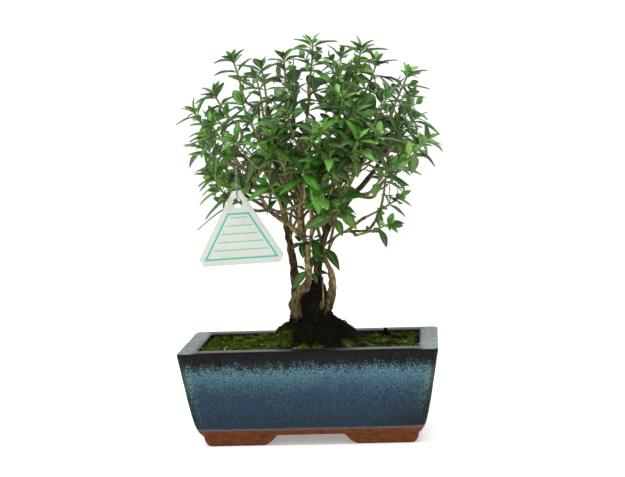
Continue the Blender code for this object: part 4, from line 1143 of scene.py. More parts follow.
for number, (first_radius, last_radius, route) in enumerate(RIDGES.values()):
    plan = (through(route), None, None, first_radius, last_radius)
    ridge_lines.append(branch_line(plan, LINE_STEP, 0.10, 100 + number))


def line_tube(line, sides):
    """A round skin over a line of (point, radius)."""
    return loft(tube_rings([p for p, _ in line], [r for _, r in line], sides))


for line in wood_lines[:limb_count] + ridge_lines:
    joined_to(heavy_points, heavy_faces, *line_tube(line, 12))
heavy = new_piece("bark_body", (heavy_points, heavy_faces))
fuse = heavy.modifiers.new("fuse", "REMESH")
FUSED_GRAIN = 0.75
fuse.mode, fuse.voxel_size = "VOXEL", FUSED_GRAIN * MM
soften = heavy.modifiers.new("soften", "SMOOTH")
soften.factor, soften.iterations = 0.5, 4
make_plain(heavy)
body_points = [v.co / MM for v in heavy.data.vertices]
body_normals = [v.normal.copy() for v in heavy.data.vertices]
body_faces = [tuple(f.vertices) for f in heavy.data.polygons]
bpy.data.objects.remove(heavy)
# How pale the bark is by each line of a limb, a twig or a ridge
TWIG_PALENESS = 0.25
paleness = [PALE_STEMS.get(name, 0.0) for name in LIMBS]
paleness += [TWIG_PALENESS] * (len(wood_lines) - limb_count)
paleness += [PALE_STEMS.get(name, 0.0) for name in RIDGES]
line_points = [(p, r, pale) for line, pale in zip(wood_lines + ridge_lines, paleness) for p, r in line]
near_line = kdtree.KDTree(len(line_points))
from_ridges = sum(len(line) for line in wood_lines)
STEMS_SHOW_Z = 118
for number, (p, _, _) in enumerate(line_points):
    # Below this the stems run inside the trunk, and only the ridges show
    if p.z > STEMS_SHOW_Z or number >= from_ridges:
        near_line.insert(p, number)
near_line.balance()


def wood_age(radius):
    """0 for a green twig to 1 for old wood, by the radius."""
    return clipped((radius - 0.9) / 1.6)


def uneven(p, across, tall):
    """Noise in mm, as wide and as tall as given."""
    return noise.noise((p.x / across, p.y / across, p.z / tall))


# Old bark has ridges along the stems, which fade out on the thinner limbs
CAKED_BELOW_Z, SHADE_LINE_Z = 128, 101
ages, stains_and_shade, pales = [], [], []
for number, (p, normal) in enumerate(zip(body_points, body_normals)):
    _, found, far = near_line.find(p)
    _, radius, pale = line_points[found]
    age = wood_age(radius)
    ridges = uneven(p, 1.5, 5.0) * 0.8 + uneven(p, 3.6, 5.5) * 1.5
    # Between the ridges the trunk is caked with lumpy damp humus, darkened further as painted shade in
    # those hollows, and low down it is painted darker as shade, higher on the right
    caked_and_shaded = clipped((far - radius - 0.3) / 1.2) if p.z < CAKED_BELOW_Z else 0.0
    shade_line_z = SHADE_LINE_Z + 7 * clipped(p.x / 9) + 7 * uneven(p, 3, 4)
    caked_and_shaded = max(caked_and_shaded, clipped((shade_line_z - p.z) / 8))
    lumps = uneven(p, 1.8, 1.8) * 1.3 * caked_and_shaded
    rough = 0.10 + (0.25 + 0.4 * clipped((136 - p.z) / 12)) * age
    body_points[number] = p + normal * (ridges * rough * (1 - caked_and_shaded) + lumps)
    ages.append(age)
    pales.append(pale)
    stains_and_shade.append(clipped(caked_and_shaded + 0.3 * max(0.0, uneven(p, 5.0, 9.0))))
TWIG_SIDES = 8
for line in wood_lines[limb_count:]:
    joined_to(body_points, body_faces, *line_tube(line, TWIG_SIDES))
    for _, radius in line:
        ages += [wood_age(radius)] * TWIG_SIDES
        pales += [TWIG_PALENESS] * TWIG_SIDES
        stains_and_shade += [0.0] * TWIG_SIDES
wood = new_piece("serissa_wood", (body_points, body_faces), sharp=80)
for key, values in (("age", ages), ("stain_and_shade", stains_and_shade), ("pale", pales)):
    mark(wood.data, key, values)

# Bark scatters light as a dry, matt surface; it is rougher and greyer with age
bark, tree, shader = new_material("serissa_bark")
spot = add(tree, "TexCoord", result="Object")
mm = add(tree, "VectorMath", {0: spot, 1: (1000, 1000, 1000)}, operation="MULTIPLY")
along = add(tree, "VectorMath", {0: mm, 1: (1.0, 1.0, 0.35)}, operation="MULTIPLY")
fibre = add(tree, "TexNoise", {"Vector": along, "Scale": 0.9, "Detail": 6.0, "Roughness": 0.7})
flakes = add(tree, "TexNoise", {"Vector": along, "Scale": 0.4, "Detail": 4.0, "Roughness": 0.65})
fibre = add(tree, "Math", {0: fibre, 1: flakes}, operation="ADD")
fibre = add(tree, "Math", {0: fibre, 1: 1.0, 2: -0.46}, operation="MULTIPLY_ADD")
patch = add(tree, "TexNoise", {"Vector": mm, "Scale": 1 / 9.0, "Detail": 3.0})
age = add(tree, "Attribute", attribute_name="age", result="Fac")
stain_and_shade = add(tree, "Attribute", attribute_name="stain_and_shade", result="Fac")
old = add(tree, "ValToRGB", {0: fibre}, stops=[
    (0.3, "#120e09"), (0.72, "#655338"), (0.45, "#2b2215"), (0.58, "#463824")])
tan = add(tree, "ValToRGB", {0: fibre}, stops=[
    (0.3, "#4a3d28"), (0.72, "#cdb68a"), (0.45, "#8c7850"), (0.58, "#b09b6c")])
pale = add(tree, "Attribute", attribute_name="pale", result="Fac")
old = add(tree, "Mix", {0: pale, 6: old, 7: tan}, data_type="RGBA")
young = add(tree, "ValToRGB", {0: fibre}, stops=[(0.35, "#55512f"), (0.7, "#8d8656")])
mixed = add(tree, "MapRange", {"Value": age, "From Min": 0.1, "From Max": 0.35})
mixed = add(tree, "Mix", {0: mixed, 6: young, 7: old}, data_type="RGBA")
browned = add(tree, "MapRange", {"Value": patch, "From Min": 0.5, "From Max": 0.7, "To Max": 0.5})
mixed = add(tree, "Mix", {0: browned, 6: mixed, 7: linear("#281d12")}, data_type="RGBA")
# Near-black bark over humus and stains, and painted shade low on the trunk and between its ridges
humus_and_shade = add(tree, "TexNoise", {"Vector": mm, "Scale": 1 / 1.3, "Detail": 3.0})
humus_and_shade = add(tree, "ValToRGB", {0: humus_and_shade}, stops=[(0.35, "#050403"), (0.78, "#3b3121"), (0.58, "#130f0a")])
mixed = add(tree, "Mix", {0: stain_and_shade, 6: mixed, 7: humus_and_shade}, data_type="RGBA")
furrows = add(tree, "Bump", {"Strength": 0.8, "Distance": 0.0008, "Height": fibre})
plug(shader, {"Base Color": mixed, "Normal": furrows, "Roughness": 0.85, "Specular IOR Level": 0.12})
wood.data.materials.append(bark)
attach(wood, "root")
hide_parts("wood")


# The leafy shoots: one for each node of the crown, and fuller than it. Leaves sit in opposite
# pairs on a green stem, with tufts of younger leaves in their axils and on the twigs. The leaf is
# narrow, pointed and glossy, folded a little at its pale rib; low on the tree it is rounder.
LEAF_STATIONS = [  # place along the leaf, and share of its half-width
    (0.0, 0.09), (0.07, 0.10), (0.16, 0.40), (0.28, 0.80), (0.42, 1.0),
    (0.57, 0.97), (0.72, 0.76), (0.86, 0.43), (0.95, 0.18), (1.0, 0.03),
]
EXTRA_SEED, LOST_LEAVES = 5, 0.15


def leaf_shape(arch, fold, wave, plump):
    """One leaf along X, 1 mm long and 1 mm in half-width before scaling, in a closed skin."""
    points, faces, marks = [], [], {"leaf_along": [], "leaf_across": [], "leaf_under": []}
    for number, (t, share) in enumerate(LEAF_STATIONS):
        share = share ** plump
        lift = -arch * t * t
        thick = 0.011 if 0 < number < len(LEAF_STATIONS) - 1 else 0.004
        for across, under in ((-1, 0), (-0.5, 0), (0, 0), (0.5, 0), (1, 0), (0, 1)):
            ripple = wave * math.sin(t * 11 + across * 2) * abs(across) * share
            z = lift + fold * abs(across) * share + ripple
            z = z + (thick if not under and across else 0) - (2.2 * thick if under else 0)
            points.append(Vector((t, across * share, z)))
            marks["leaf_along"].append(t)
            marks["leaf_across"].append(across)
            marks["leaf_under"].append(under)
    for level in range(len(LEAF_STATIONS) - 1):
        low, high = level * 6, level * 6 + 6
        for i in range(6):
            j = (i + 1) % 6
            faces.append((low + i, high + i, high + j, low + j))
    faces.append(tuple(range(6)))
    faces.append(tuple(reversed(range(len(points) - 6, len(points)))))
    return points, faces, marks


def foliage_tree():
    """Geometry Nodes that turn lines into stems and loose points into leaves: a stem is a tube with
    the radius at each point, and a leaf is copied, turned, scaled and then bent down by its weight."""
    made, names = new_tree("leafy_shoot", "Plan", [
        ("Leaf 1", "Object"), ("Leaf 2", "Object"), ("Leaf 3", "Object"), ("Leaf 4", "Object"),
        ("Leaf finish", "Material"), ("Stem finish", "Material"), ("Stem sides", "Int")])
    into = add(made, "NodeGroupInput").node.outputs
    curves = add(made, "GeometryNodeMeshToCurve", {0: into["Plan"]})
    radius = add(made, "GeometryNodeInputNamedAttribute", {"Name": "stem_radius"}, data_type="FLOAT")
    curves = add(made, "GeometryNodeSetCurveRadius", {"Curve": curves, "Radius": radius})
    profile = add(made, "GeometryNodeCurvePrimitiveCircle", {"Resolution": into["Stem sides"], "Radius": 1.0})
    tubes = add(made, "GeometryNodeCurveToMesh", {
        "Curve": curves, "Profile Curve": profile, "Fill Caps": True})
    if "Scale" in tubes.node.inputs:
        plug(tubes.node, {"Scale": radius})
    stems = add(made, "GeometryNodeSetMaterial", {"Geometry": tubes, "Material": into["Stem finish"]})
    kinds = add(made, "GeometryNodeJoinGeometry")
    for number in (4, 3, 2, 1):
        shape = add(made, "GeometryNodeObjectInfo", {
            "Object": into[f"Leaf {number}"], "As Instance": True}, result="Geometry")
        plug(kinds.node, {0: shape})
    is_leaf = add(made, "GeometryNodeInputNamedAttribute", {"Name": "is_leaf"}, data_type="BOOLEAN")
    kind = add(made, "GeometryNodeInputNamedAttribute", {"Name": "kind"}, data_type="INT")
    turn = add(made, "GeometryNodeInputNamedAttribute", {"Name": "turn"}, data_type="QUATERNION")
    size = add(made, "GeometryNodeInputNamedAttribute", {"Name": "size"}, data_type="FLOAT_VECTOR")
    copies = add(made, "GeometryNodeInstanceOnPoints", {
        "Points": into["Plan"], "Selection": is_leaf, "Instance": kinds, "Pick Instance": True,
        "Instance Index": kind, "Rotation": turn, "Scale": size})
    plain = add(made, "GeometryNodeRealizeInstances", {"Geometry": copies})
    along = add(made, "GeometryNodeInputNamedAttribute", {"Name": "leaf_along"}, data_type="FLOAT")
    sag = add(made, "GeometryNodeInputNamedAttribute", {"Name": "sag"}, data_type="FLOAT")
    drop = add(made, "Math", {0: along, 1: along}, operation="MULTIPLY")
    drop = add(made, "Math", {0: drop, 1: sag}, operation="MULTIPLY")
    drop = add(made, "Math", {0: drop, 1: -1.0}, operation="MULTIPLY")
    down = add(made, "CombineXYZ", {2: drop})
    bent = add(made, "GeometryNodeSetPosition", {"Geometry": plain, "Offset": down})
    leaves = add(made, "GeometryNodeSetMaterial", {"Geometry": bent, "Material": into["Leaf finish"]})
    both = add(made, "GeometryNodeJoinGeometry")
    plug(both.node, {0: stems})
    plug(both.node, {0: leaves})
    smooth = add(made, "GeometryNodeSetShadeSmooth", {"Geometry": both})
    add(made, "NodeGroupOutput", {0: smooth})
    return made, names


# A living leaf: a waxy skin over green cells. The wax gives a soft sheen, the rib and veins are
# paler, the underside is matt and greyer, and the youngest leaves are yellow-green
leaf_finish, tree, shader = new_material("waxy_green_leaf")
along = add(tree, "Attribute", attribute_name="leaf_along", result="Fac")
across = add(tree, "Attribute", attribute_name="leaf_across", result="Fac")
under = add(tree, "Attribute", attribute_name="leaf_under", result="Fac")
tint = add(tree, "Attribute", attribute_name="tint", result="Fac")
young = add(tree, "Attribute", attribute_name="young", result="Fac")
grown_green = add(tree, "ValToRGB", {0: tint}, stops=[
    (0.0, "#102804"), (1.0, "#78aa4a"), (0.3, "#224d0c"), (0.65, "#447f21")])
green = add(tree, "Mix", {0: young, 6: grown_green, 7: linear("#7da539")}, data_type="RGBA")
from_rib = add(tree, "Math", {0: across}, operation="ABSOLUTE")
rib = add(tree, "MapRange", {"Value": from_rib, "From Min": 0.16, "From Max": 0.02, "To Max": 0.45})
green = add(tree, "Mix", {0: rib, 6: green, 7: linear("#7fae58")}, data_type="RGBA")
# Side veins leave the rib at a slant, seven or eight a side
vein = add(tree, "Math", {0: from_rib, 1: -0.35, 2: along}, operation="MULTIPLY_ADD")
vein = add(tree, "Math", {0: vein, 1: 50.0}, operation="MULTIPLY")
vein = add(tree, "Math", {0: vein}, operation="SINE")
veined = add(tree, "MapRange", {"Value": vein, "From Min": 0.75, "From Max": 1.0, "To Max": 0.2})
green = add(tree, "Mix", {0: veined, 6: green, 7: linear("#79a657")}, data_type="RGBA")
spot = add(tree, "TexCoord", result="Object")
mottle = add(tree, "TexNoise", {"Vector": spot, "Scale": 260.0, "Detail": 2.0})
mottled = add(tree, "MapRange", {
    "Value": mottle, "From Min": 0.3, "From Max": 0.7, "To Min": 0.86, "To Max": 1.14})
green = add(tree, "VectorMath", {0: green, "Scale": mottled}, operation="SCALE")
pale = add(tree, "Math", {0: under, 1: 0.5}, operation="MULTIPLY")
green = add(tree, "Mix", {0: pale, 6: green, 7: linear("#7d9a68")}, data_type="RGBA")
sheen = add(tree, "MapRange", {"Value": under, "To Min": 0.31, "To Max": 0.7})
raised = add(tree, "Bump", {"Strength": 0.3, "Distance": 0.0002, "Height": vein})
plug(shader, {
    "Base Color": green, "Roughness": sheen, "Normal": raised, "IOR": 1.45, "Specular IOR Level": 0.42})

# A young stem: green to olive, smooth, with short down that only dulls it
stem_finish, tree, shader = new_material("green_stem_bark")
spot = add(tree, "TexCoord", result="Object")
streak = add(tree, "TexNoise", {"Vector": spot, "Scale": 700.0, "Detail": 3.0})
olive = add(tree, "ValToRGB", {0: streak}, stops=[(0.3, "#55602a"), (0.75, "#8f9a52")])
down = add(tree, "Bump", {"Strength": 0.4, "Distance": 0.0002, "Height": streak})
plug(shader, {"Base Color": olive, "Normal": down, "Roughness": 0.7})

# Four kinds of leaf: arch, fold, ripple of the edge, and a power that makes the last two plumper
LEAF_KINDS = [
    (0.20, 0.045, 0.006, 1.0), (0.27, 0.07, 0.012, 1.0), (0.12, 0.03, 0.010, 0.9), (0.15, 0.03, 0.008, 0.7)]
leaf_helpers = []
for number, kind in enumerate(LEAF_KINDS):
    points, leaf_faces, marks = leaf_shape(*kind)
    leaf_helpers.append(helper(f"leaf_{number + 1}", (points, leaf_faces), marks))
foliage = foliage_tree()


def leaf_at(root, way, up, length, half_width, draw, young=0.0, kind=None, darkest=1.0):
    """The plan of a leaf: its root, turn, size, sag, kind, tint and youth."""
    side = up.cross(way).normalized()
    turn = Matrix((way, side, way.cross(side))).transposed().to_quaternion()
    if kind is None:
        kind = draw.choice((0, 0, 1, 2, 2)) if half_width < 0.26 * length else 3
    # Leaves inside the crown get the darker greens as painted shade, and those outside the brighter ones
    outward = Vector(((root.x - 4) / 95, (root.y + 5) / 85, (root.z - 232) / 78)).length
    tint = draw.random() * darkest * max(0.12, min(1.0, (outward - 0.3) / 0.65))
    young *= min(1.0, outward)
    return (root, turn, (length, half_width, length), LEAF_SAG * length, kind, tint, young)


def leafy_piece(name, stems, leaves):
    """A piece from stems, each a list of (point, radius), and leaves. All go through the tree."""
    points, edges, radii = [], [], []
    for stem in stems:
        edges += [(len(points) + k, len(points) + k + 1) for k in range(len(stem) - 1)]
        points += [p for p, _ in stem]
        radii += [r * MM for _, r in stem]
    bare = len(points)
    points += [leaf[0] for leaf in leaves]
    radii += [0.0] * len(leaves)
    turns = [(1.0, 0.0, 0.0, 0.0)] * bare + [tuple(leaf[1]) for leaf in leaves]
    sizes = [(1.0, 1.0, 1.0)] * bare + [leaf[2] for leaf in leaves]
    mesh = bpy.data.meshes.new(name)
    mesh.from_pydata([p * MM for p in points], edges, [])
    mark(mesh, "stem_radius", radii)
    mark(mesh, "is_leaf", [False] * bare + [True] * len(leaves), "BOOLEAN")
    mark(mesh, "kind", [0] * bare + [leaf[4] for leaf in leaves], "INT")
    mark(mesh, "turn", [v for turn in turns for v in turn], "QUATERNION")
    mark(mesh, "size", [v for size in sizes for v in size], "FLOAT_VECTOR", "vector")
    for key, place, factor in (("sag", 3, MM), ("tint", 5, 1.0), ("young", 6, 1.0)):
        mark(mesh, key, [0.0] * bare + [leaf[place] * factor for leaf in leaves])
    values = {f"Leaf {number + 1}": shape for number, shape in enumerate(leaf_helpers)}
    values |= {"Leaf finish": leaf_finish, "Stem finish": stem_finish, "Stem sides": 7}
    return grown(name, mesh, foliage, values)


def tuft_of_leaves(stem, pairs, longest, draw, young=0.0):
    """Opposite pairs of leaves towards the end of a small stem, each pair turned a quarter."""
    leaves = []
    spin = draw.uniform(0, math.tau)
    for number in range(pairs):
        where = 1.0 if pairs == 1 else 0.45 + 0.55 * number / (pairs - 1)
        at = where * (len(stem) - 1)
        low = min(int(at), len(stem) - 2)
        root = stem[low][0].lerp(stem[low + 1][0], at - low)
        along = (stem[low + 1][0] - stem[low][0]).normalized()
        across = along.orthogonal().normalized()
        lean = math.radians(74 - 42 * number / max(1, pairs - 1)) + draw.uniform(-0.2, 0.2)
        length = longest * (1.0 - 0.3 * number / max(1, pairs - 1)) * draw.uniform(0.75, 1.15)
        for opposite in (0, math.pi):
            angle = spin + number * math.pi / 2 + opposite + draw.uniform(-0.35, 0.35)
            out = Matrix.Rotation(angle, 3, along) @ across
            tilt = lean + draw.uniform(-0.25, 0.25)
            way = (along * math.cos(tilt) + out * math.sin(tilt)).normalized()
            up = (along - way * along.dot(way)).normalized()
            up = (up + (UP - way * way.z) * LEAF_TO_LIGHT).normalized()
            up = (up - way * up.dot(way)).normalized()
            size = length * draw.uniform(0.7, 1.25)
            leaf = leaf_at(root, way, up, size, size * LEAF_WIDTH_SHARE * draw.uniform(0.5, 0.78), draw,
                           young * draw.uniform(0.3, 1.0))
            if draw.random() > LOST_LEAVES:
                leaves.append(leaf)
    return leaves


low_corner, high_corner = [corner / MM for corner in cad_box]
BOX_MARGIN, SHRUNK = 1.6, 0.95


def open_air(point):
    """How much of the extra growth is left out: more at the crown's upper left, lower right and
    foot."""
    left = 0.92 * clipped((-14 - point.x) / 26) * clipped((point.z - 205) / 20)
    low_right = 0.92 * clipped((point.x - 16) / 18) * clipped((226 - point.z) / 20)
    middle = 0.8 * clipped((60 - abs(point.x - 8)) / 15) * clipped((208 - point.z) / 12)
    return max(left, low_right, middle)


def fits(leaf):
    """Whether a leaf's tip stays well inside the CAD model's box."""
    tip = leaf[0] + (leaf[1] @ Vector((1, 0, -0.2))) * leaf[2][0] - UP * leaf[3]
    return all(low_corner[k] + BOX_MARGIN < tip[k] < high_corner[k] - BOX_MARGIN for k in range(3))


def side_stem(start, way, length, radius, draw):
    """A small stem that leaves in one direction and turns a little to the light."""
    end_way = way + UP * draw.uniform(0.1, 0.5) + Vector([draw.uniform(-0.2, 0.2) for _ in range(3)])
    end_way.normalize()
    at = bezier(start, way, start + (way * 0.55 + end_way * 0.45) * length, end_way)
    return [(at(k / 4), radius * (1 - 0.35 * k / 4)) for k in range(5)]


TIP_FOUND = 0.25
for number, shoot in enumerate(shoots):
    node = f"leafy_shoot_{number + 1:02d}"
    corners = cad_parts[node].data.vertices
    tips = kdtree.KDTree(len(corners))
    for place, vertex in enumerate(corners):
        tips.insert(vertex.co / MM, place)
    tips.balance()
    draw = random.Random(EXTRA_SEED * 100 + number)
    leaves = []
    for choices in shoot.leaves.values():
        for root, way, up, length, half_width in choices:
            tip = root + (way - up * LEAF_ARCH - UP * LEAF_SAG) * length
            # The way that this leaf took in the CAD model has a corner at its tip
            if tips.find(tip)[2] < TIP_FOUND:
                leaf = leaf_at(root, way, up, length, half_width, draw, young=max(0.0, 0.75 - length / 18))
                if not fits(leaf):
                    leaf = leaf[:2] + (tuple(SHRUNK * size for size in leaf[2]),) + leaf[3:]
                leaves.append(leaf)
                break
    taper = SHOOT_TIP_RADIUS - SHOOT_RADIUS
    stem_line = [(shoot.at(k / 10), SHOOT_RADIUS + taper * k / 10) for k in range(11)]
    stems = [stem_line]
    # Tufts in the axils: up to five side stems with small leaves, and the young tip
    for where in (0.12, 0.27, 0.42, 0.55, 0.68):
        at = where * 10
        start = stem_line[int(at)][0].lerp(stem_line[int(at) + 1][0], at - int(at))
        along = (stem_line[int(at) + 1][0] - stem_line[int(at)][0]).normalized()
        out = Matrix.Rotation(draw.uniform(0, math.tau), 3, along) @ along.orthogonal().normalized()
        side = side_stem(start, (along * 0.75 + out).normalized(), draw.uniform(5, 13), 0.6, draw)
        tuft_leaves = tuft_of_leaves(side, draw.choice((1, 2, 3)), draw.uniform(11, 20), draw, young=0.3)
        tuft_leaves = [leaf for leaf in tuft_leaves if fits(leaf)]
        if tuft_leaves and draw.random() > open_air(start):
            stems.append(side)
            leaves += tuft_leaves
    leaves += [leaf for leaf in tuft_of_leaves(stem_line[-2:], 2, 8.0, draw, young=0.9) if fits(leaf)]
    piece = leafy_piece(f"shoot_{number + 1:02d}", stems, leaves)
    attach(piece, "root")
    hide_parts(node)

# Leaves low on the stems, listed one by one: where the side stem starts, its end, and each leaf's tip and
# half-width
LOW_LEAVES = [
    ((11, -1.5, 152), (13, -13, 150), [
        ((24.5, -22, 135.2), 4.2), ((4, -21, 141), 3.2), ((20, -18, 158), 2.6)]),
    ((0, -9.5, 132), (-1.5, -13.5, 132.5), [((-10.9, -22, 120.4), 4.4), ((-9, -17, 137), 2.4)]),
    ((0.5, -10, 129), (3.5, -13.5, 130), [((15.9, -20, 131.2), 2.9), ((7, -22, 124), 2.6)]),
    ((0, -9, 147), (3.5, -14, 154), [
        ((9.6, -23, 145), 3.0), ((-4.6, -22, 153.5), 2.6), ((12, -21, 157), 2.8), ((2, -24, 160), 2.4)]),
    ((-1, -9, 150), (-4.8, -13, 154.5), [
        ((-11.5, -21, 150.6), 2.8), ((-3.2, -21, 144), 2.7), ((-10, -15, 161), 2.3)]),
    ((0, -10, 139), (4.2, -14, 143.5), [((13.9, -22, 139.5), 2.8), ((3.6, -21, 136), 2.4)]),
    ((0.5, -9, 145), (5.5, -13, 150.5), [
        ((13.4, -19, 146.0), 3.1), ((7.4, -22, 141.2), 2.9), ((12.2, -18, 155.0), 2.7)]),
    ((0, -9, 152), (4.0, -13, 157.0), [
        ((10.6, -19, 160.5), 2.6), ((9.2, -21, 151.5), 2.8), ((-3.4, -20, 161.5), 2.3)]),
]
draw = random.Random(EXTRA_SEED + 1)
stems, leaves = [], []
for start, end, tips in LOW_LEAVES:
    start, end = Vector(start), Vector(end)
    at = bezier(start, (end - start).normalized(), end, (end - start).normalized())
    stems.append([(at(k / 4), 0.75 - 0.05 * k) for k in range(5)])
    for tip, half_width in tips:
        to = Vector(tip) - end
        way = (to + UP * to.length * 0.16).normalized()
        up = (UP - way * way.z + Vector((0, -0.5, 0))).normalized()
        up = (up - way * up.dot(way)).normalized()
        kind = draw.choice((0, 2))
        # These low leaves under the crown are held darker, as painted shade
        leaves.append(leaf_at(end, way, up, to.length, half_width, draw, kind=kind, darkest=0.4))
# A dry side stem sticks out to the left behind the tag
at = bezier(
    Vector((-33, -26, 190)), Vector((-0.8, -0.2, 0.1)).normalized(),
    Vector((-83, -36, 168.5)), Vector((-0.75, 0, -0.65)))
stems.append([(at(k / 8), 0.75 - 0.04 * k) for k in range(9)])
low_leaves = leafy_piece("low_stem_leaves", stems, leaves)
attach(low_leaves, "root")

# Short spurs with leaves along the twigs and the upper limbs fill the crown
LOWEST_ON_LIMB, LOWEST_ON_FAN, LOWEST_ON_TWIG, SPUR_STEP = 200, 210, 186.0, 15.0
draw = random.Random(EXTRA_SEED)
spur_groups = {"left": ([], []), "right": ([], []), "back": ([], [])}
for number, line in enumerate(wood_lines):
    passed, next_spur = 0.0, draw.uniform(6, SPUR_STEP)
    for (here, radius), (there, _) in zip(line, line[1:]):
        passed += (there - here).length
        if passed < next_spur:
            continue
        next_spur = passed + draw.uniform(0.6, 1.4) * SPUR_STEP
        on_fan = number >= len(wood_lines) - FAN_STEMS
        lowest = LOWEST_ON_LIMB if number < limb_count else LOWEST_ON_FAN if on_fan else LOWEST_ON_TWIG
        if here.z < lowest:
            continue
        along = (there - here).normalized()
        out = Matrix.Rotation(draw.uniform(0, math.tau), 3, along) @ along.orthogonal().normalized()
        way = (out + along * 0.5 + UP * 0.35).normalized()
        spur = side_stem(here, way, draw.uniform(5, 14) + radius, 0.6, draw)
        spur_leaves = tuft_of_leaves(spur, draw.choice((1, 1, 2, 2)), draw.uniform(12, 24), draw, young=0.15)
        spur_leaves = [leaf for leaf in spur_leaves if fits(leaf)]
        if spur_leaves and draw.random() > open_air(here):
            group = spur_groups["back" if here.y > 12 else "left" if here.x < 0 else "right"]
            group[0].append(spur)
            group[1].extend(spur_leaves)
for side, (stems, leaves) in spur_groups.items():
    piece = leafy_piece(f"{side}_spurs", stems, leaves)
    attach(piece, "root")


# The hang tag: a flat triangle of white rigid plastic with cut corners, punched with one hole. Its
# print is a plain teal frame with writing lines, as on any plant label.
TAG_HOLE = Vector((-50.5, -44.0, 189.0))
TAG_SIDE, TAG_CUT, TAG_THICKNESS = 59.0, 6.6, 0.8
TAG_HOLE_RADIUS, TAG_HOLE_BELOW_TOP, TAG_TILT = 3.8, 9.5, math.radians(2.3)
CORNER_SOFTENED, EDGE_ROUNDED = 0.9, 0.15
full = TAG_SIDE + 2 * TAG_CUT
tag_height = full * math.sqrt(3) / 2
corners = [Vector((-full / 2, -tag_height)), Vector((full / 2, -tag_height)), Vector((0, 0))]
outline = []
for i, corner in enumerate(corners):
    for other in (corners[i - 1], corners[(i + 1) % 3]):
        outline.append(corner + (other - corner).normalized() * TAG_CUT)
top = max(p.y for p in outline)
outline = [Vector((p.x, p.y - top + TAG_HOLE_BELOW_TOP)) for p in outline]
soft_outline = []
for i, corner in enumerate(outline):
    before, after = outline[i - 1], outline[(i + 1) % len(outline)]
    start = corner + (before - corner).normalized() * CORNER_SOFTENED
    end = corner + (after - corner).normalized() * CORNER_SOFTENED
    soft_outline += [start, start.lerp(corner, 0.5).lerp(corner.lerp(end, 0.5), 0.5), end]
turns = [math.tau * k / 32 for k in range(32)]
hole = [Vector((math.cos(turn), math.sin(turn))) * TAG_HOLE_RADIUS for turn in turns]
form = bmesh.new()
loops = []
for flat in (soft_outline, hole):
    ring = [form.verts.new((p.x * MM, 0, p.y * MM)) for p in flat]
    loops.append([form.edges.new((ring[k], ring[(k + 1) % len(ring)])) for k in range(len(ring))])
bmesh.ops.triangle_fill(form, edges=loops[0] + loops[1], use_beauty=True)
mesh = bpy.data.meshes.new("printed_tag")
form.to_mesh(mesh)
form.free()
tag = bpy.data.objects.new("printed_tag", mesh)
scene.collection.objects.link(tag)
thick, rounded = tag.modifiers.new("thick", "SOLIDIFY"), tag.modifiers.new("round", "BEVEL")
thick.thickness, thick.offset = TAG_THICKNESS * MM, 0
rounded.width, rounded.segments, rounded.angle_limit = EDGE_ROUNDED * MM, 2, math.radians(50)
make_plain(tag)
printed = tag.data.uv_layers.new(name="print")
for loop in tag.data.loops:
    at = tag.data.vertices[loop.vertex_index].co / MM
    printed.data[loop.index].uv = (at.x / 100, at.z / 100)
turn = Matrix.Rotation(-TAG_TILT, 4, "Y")
tag.data.transform(Matrix.Translation(TAG_HOLE * MM) @ turn)
form = bmesh.new()
form.from_mesh(tag.data)
bmesh.ops.recalc_face_normals(form, faces=form.faces)
form.to_mesh(tag.data)
form.free()
shade(tag, 40)

# Rigid white PVC sheet: smooth and slightly glossy, with teal ink printed flat on it
pvc, tree, shader = new_material("printed_white_pvc")
uv = add(tree, "UVMap", uv_map="print")
mm = add(tree, "VectorMath", {0: uv, 1: (100, 100, 0)}, operation="MULTIPLY")
mm = add(tree, "SeparateXYZ", {0: mm}).node.outputs
across, up_tag = mm["X"], mm["Y"]
side_of_apex = TAG_HOLE_BELOW_TOP + TAG_CUT * math.cos(math.radians(30))
FRAME_INSET, FRAME_BELOW_HOLE, FRAME_LINE, FRAME_GAP = 4.2, 7.5, 1.4, 3.2
LINE_PITCH, LINE_HALF, FIRST_LINE = 6.2, 0.36, 11.5
from_side = add(tree, "Math", {0: across}, operation="ABSOLUTE")
# Distance in from a slanting side, from the bottom, and from a level below the hole
slant = add(tree, "Math", {
    0: from_side, 1: -math.cos(math.radians(30)), 2: side_of_apex * 0.5}, operation="MULTIPLY_ADD")
slant = add(tree, "Math", {0: up_tag, 1: -0.5, 2: slant}, operation="MULTIPLY_ADD")
bottom = min(p.y for p in outline)
from_bottom = add(tree, "Math", {0: up_tag, 1: bottom}, operation="SUBTRACT")
from_top = add(tree, "Math", {0: -FRAME_BELOW_HOLE, 1: up_tag}, operation="SUBTRACT")
inmost = add(tree, "Math", {0: slant, 1: from_bottom}, operation="MINIMUM")
framed = add(tree, "Math", {0: inmost, 1: -FRAME_INSET}, operation="ADD")
framed = add(tree, "Math", {0: framed, 1: from_top}, operation="MINIMUM")
border = add(tree, "Math", {0: framed, 1: FRAME_LINE / 2, 2: FRAME_LINE / 2}, operation="COMPARE")
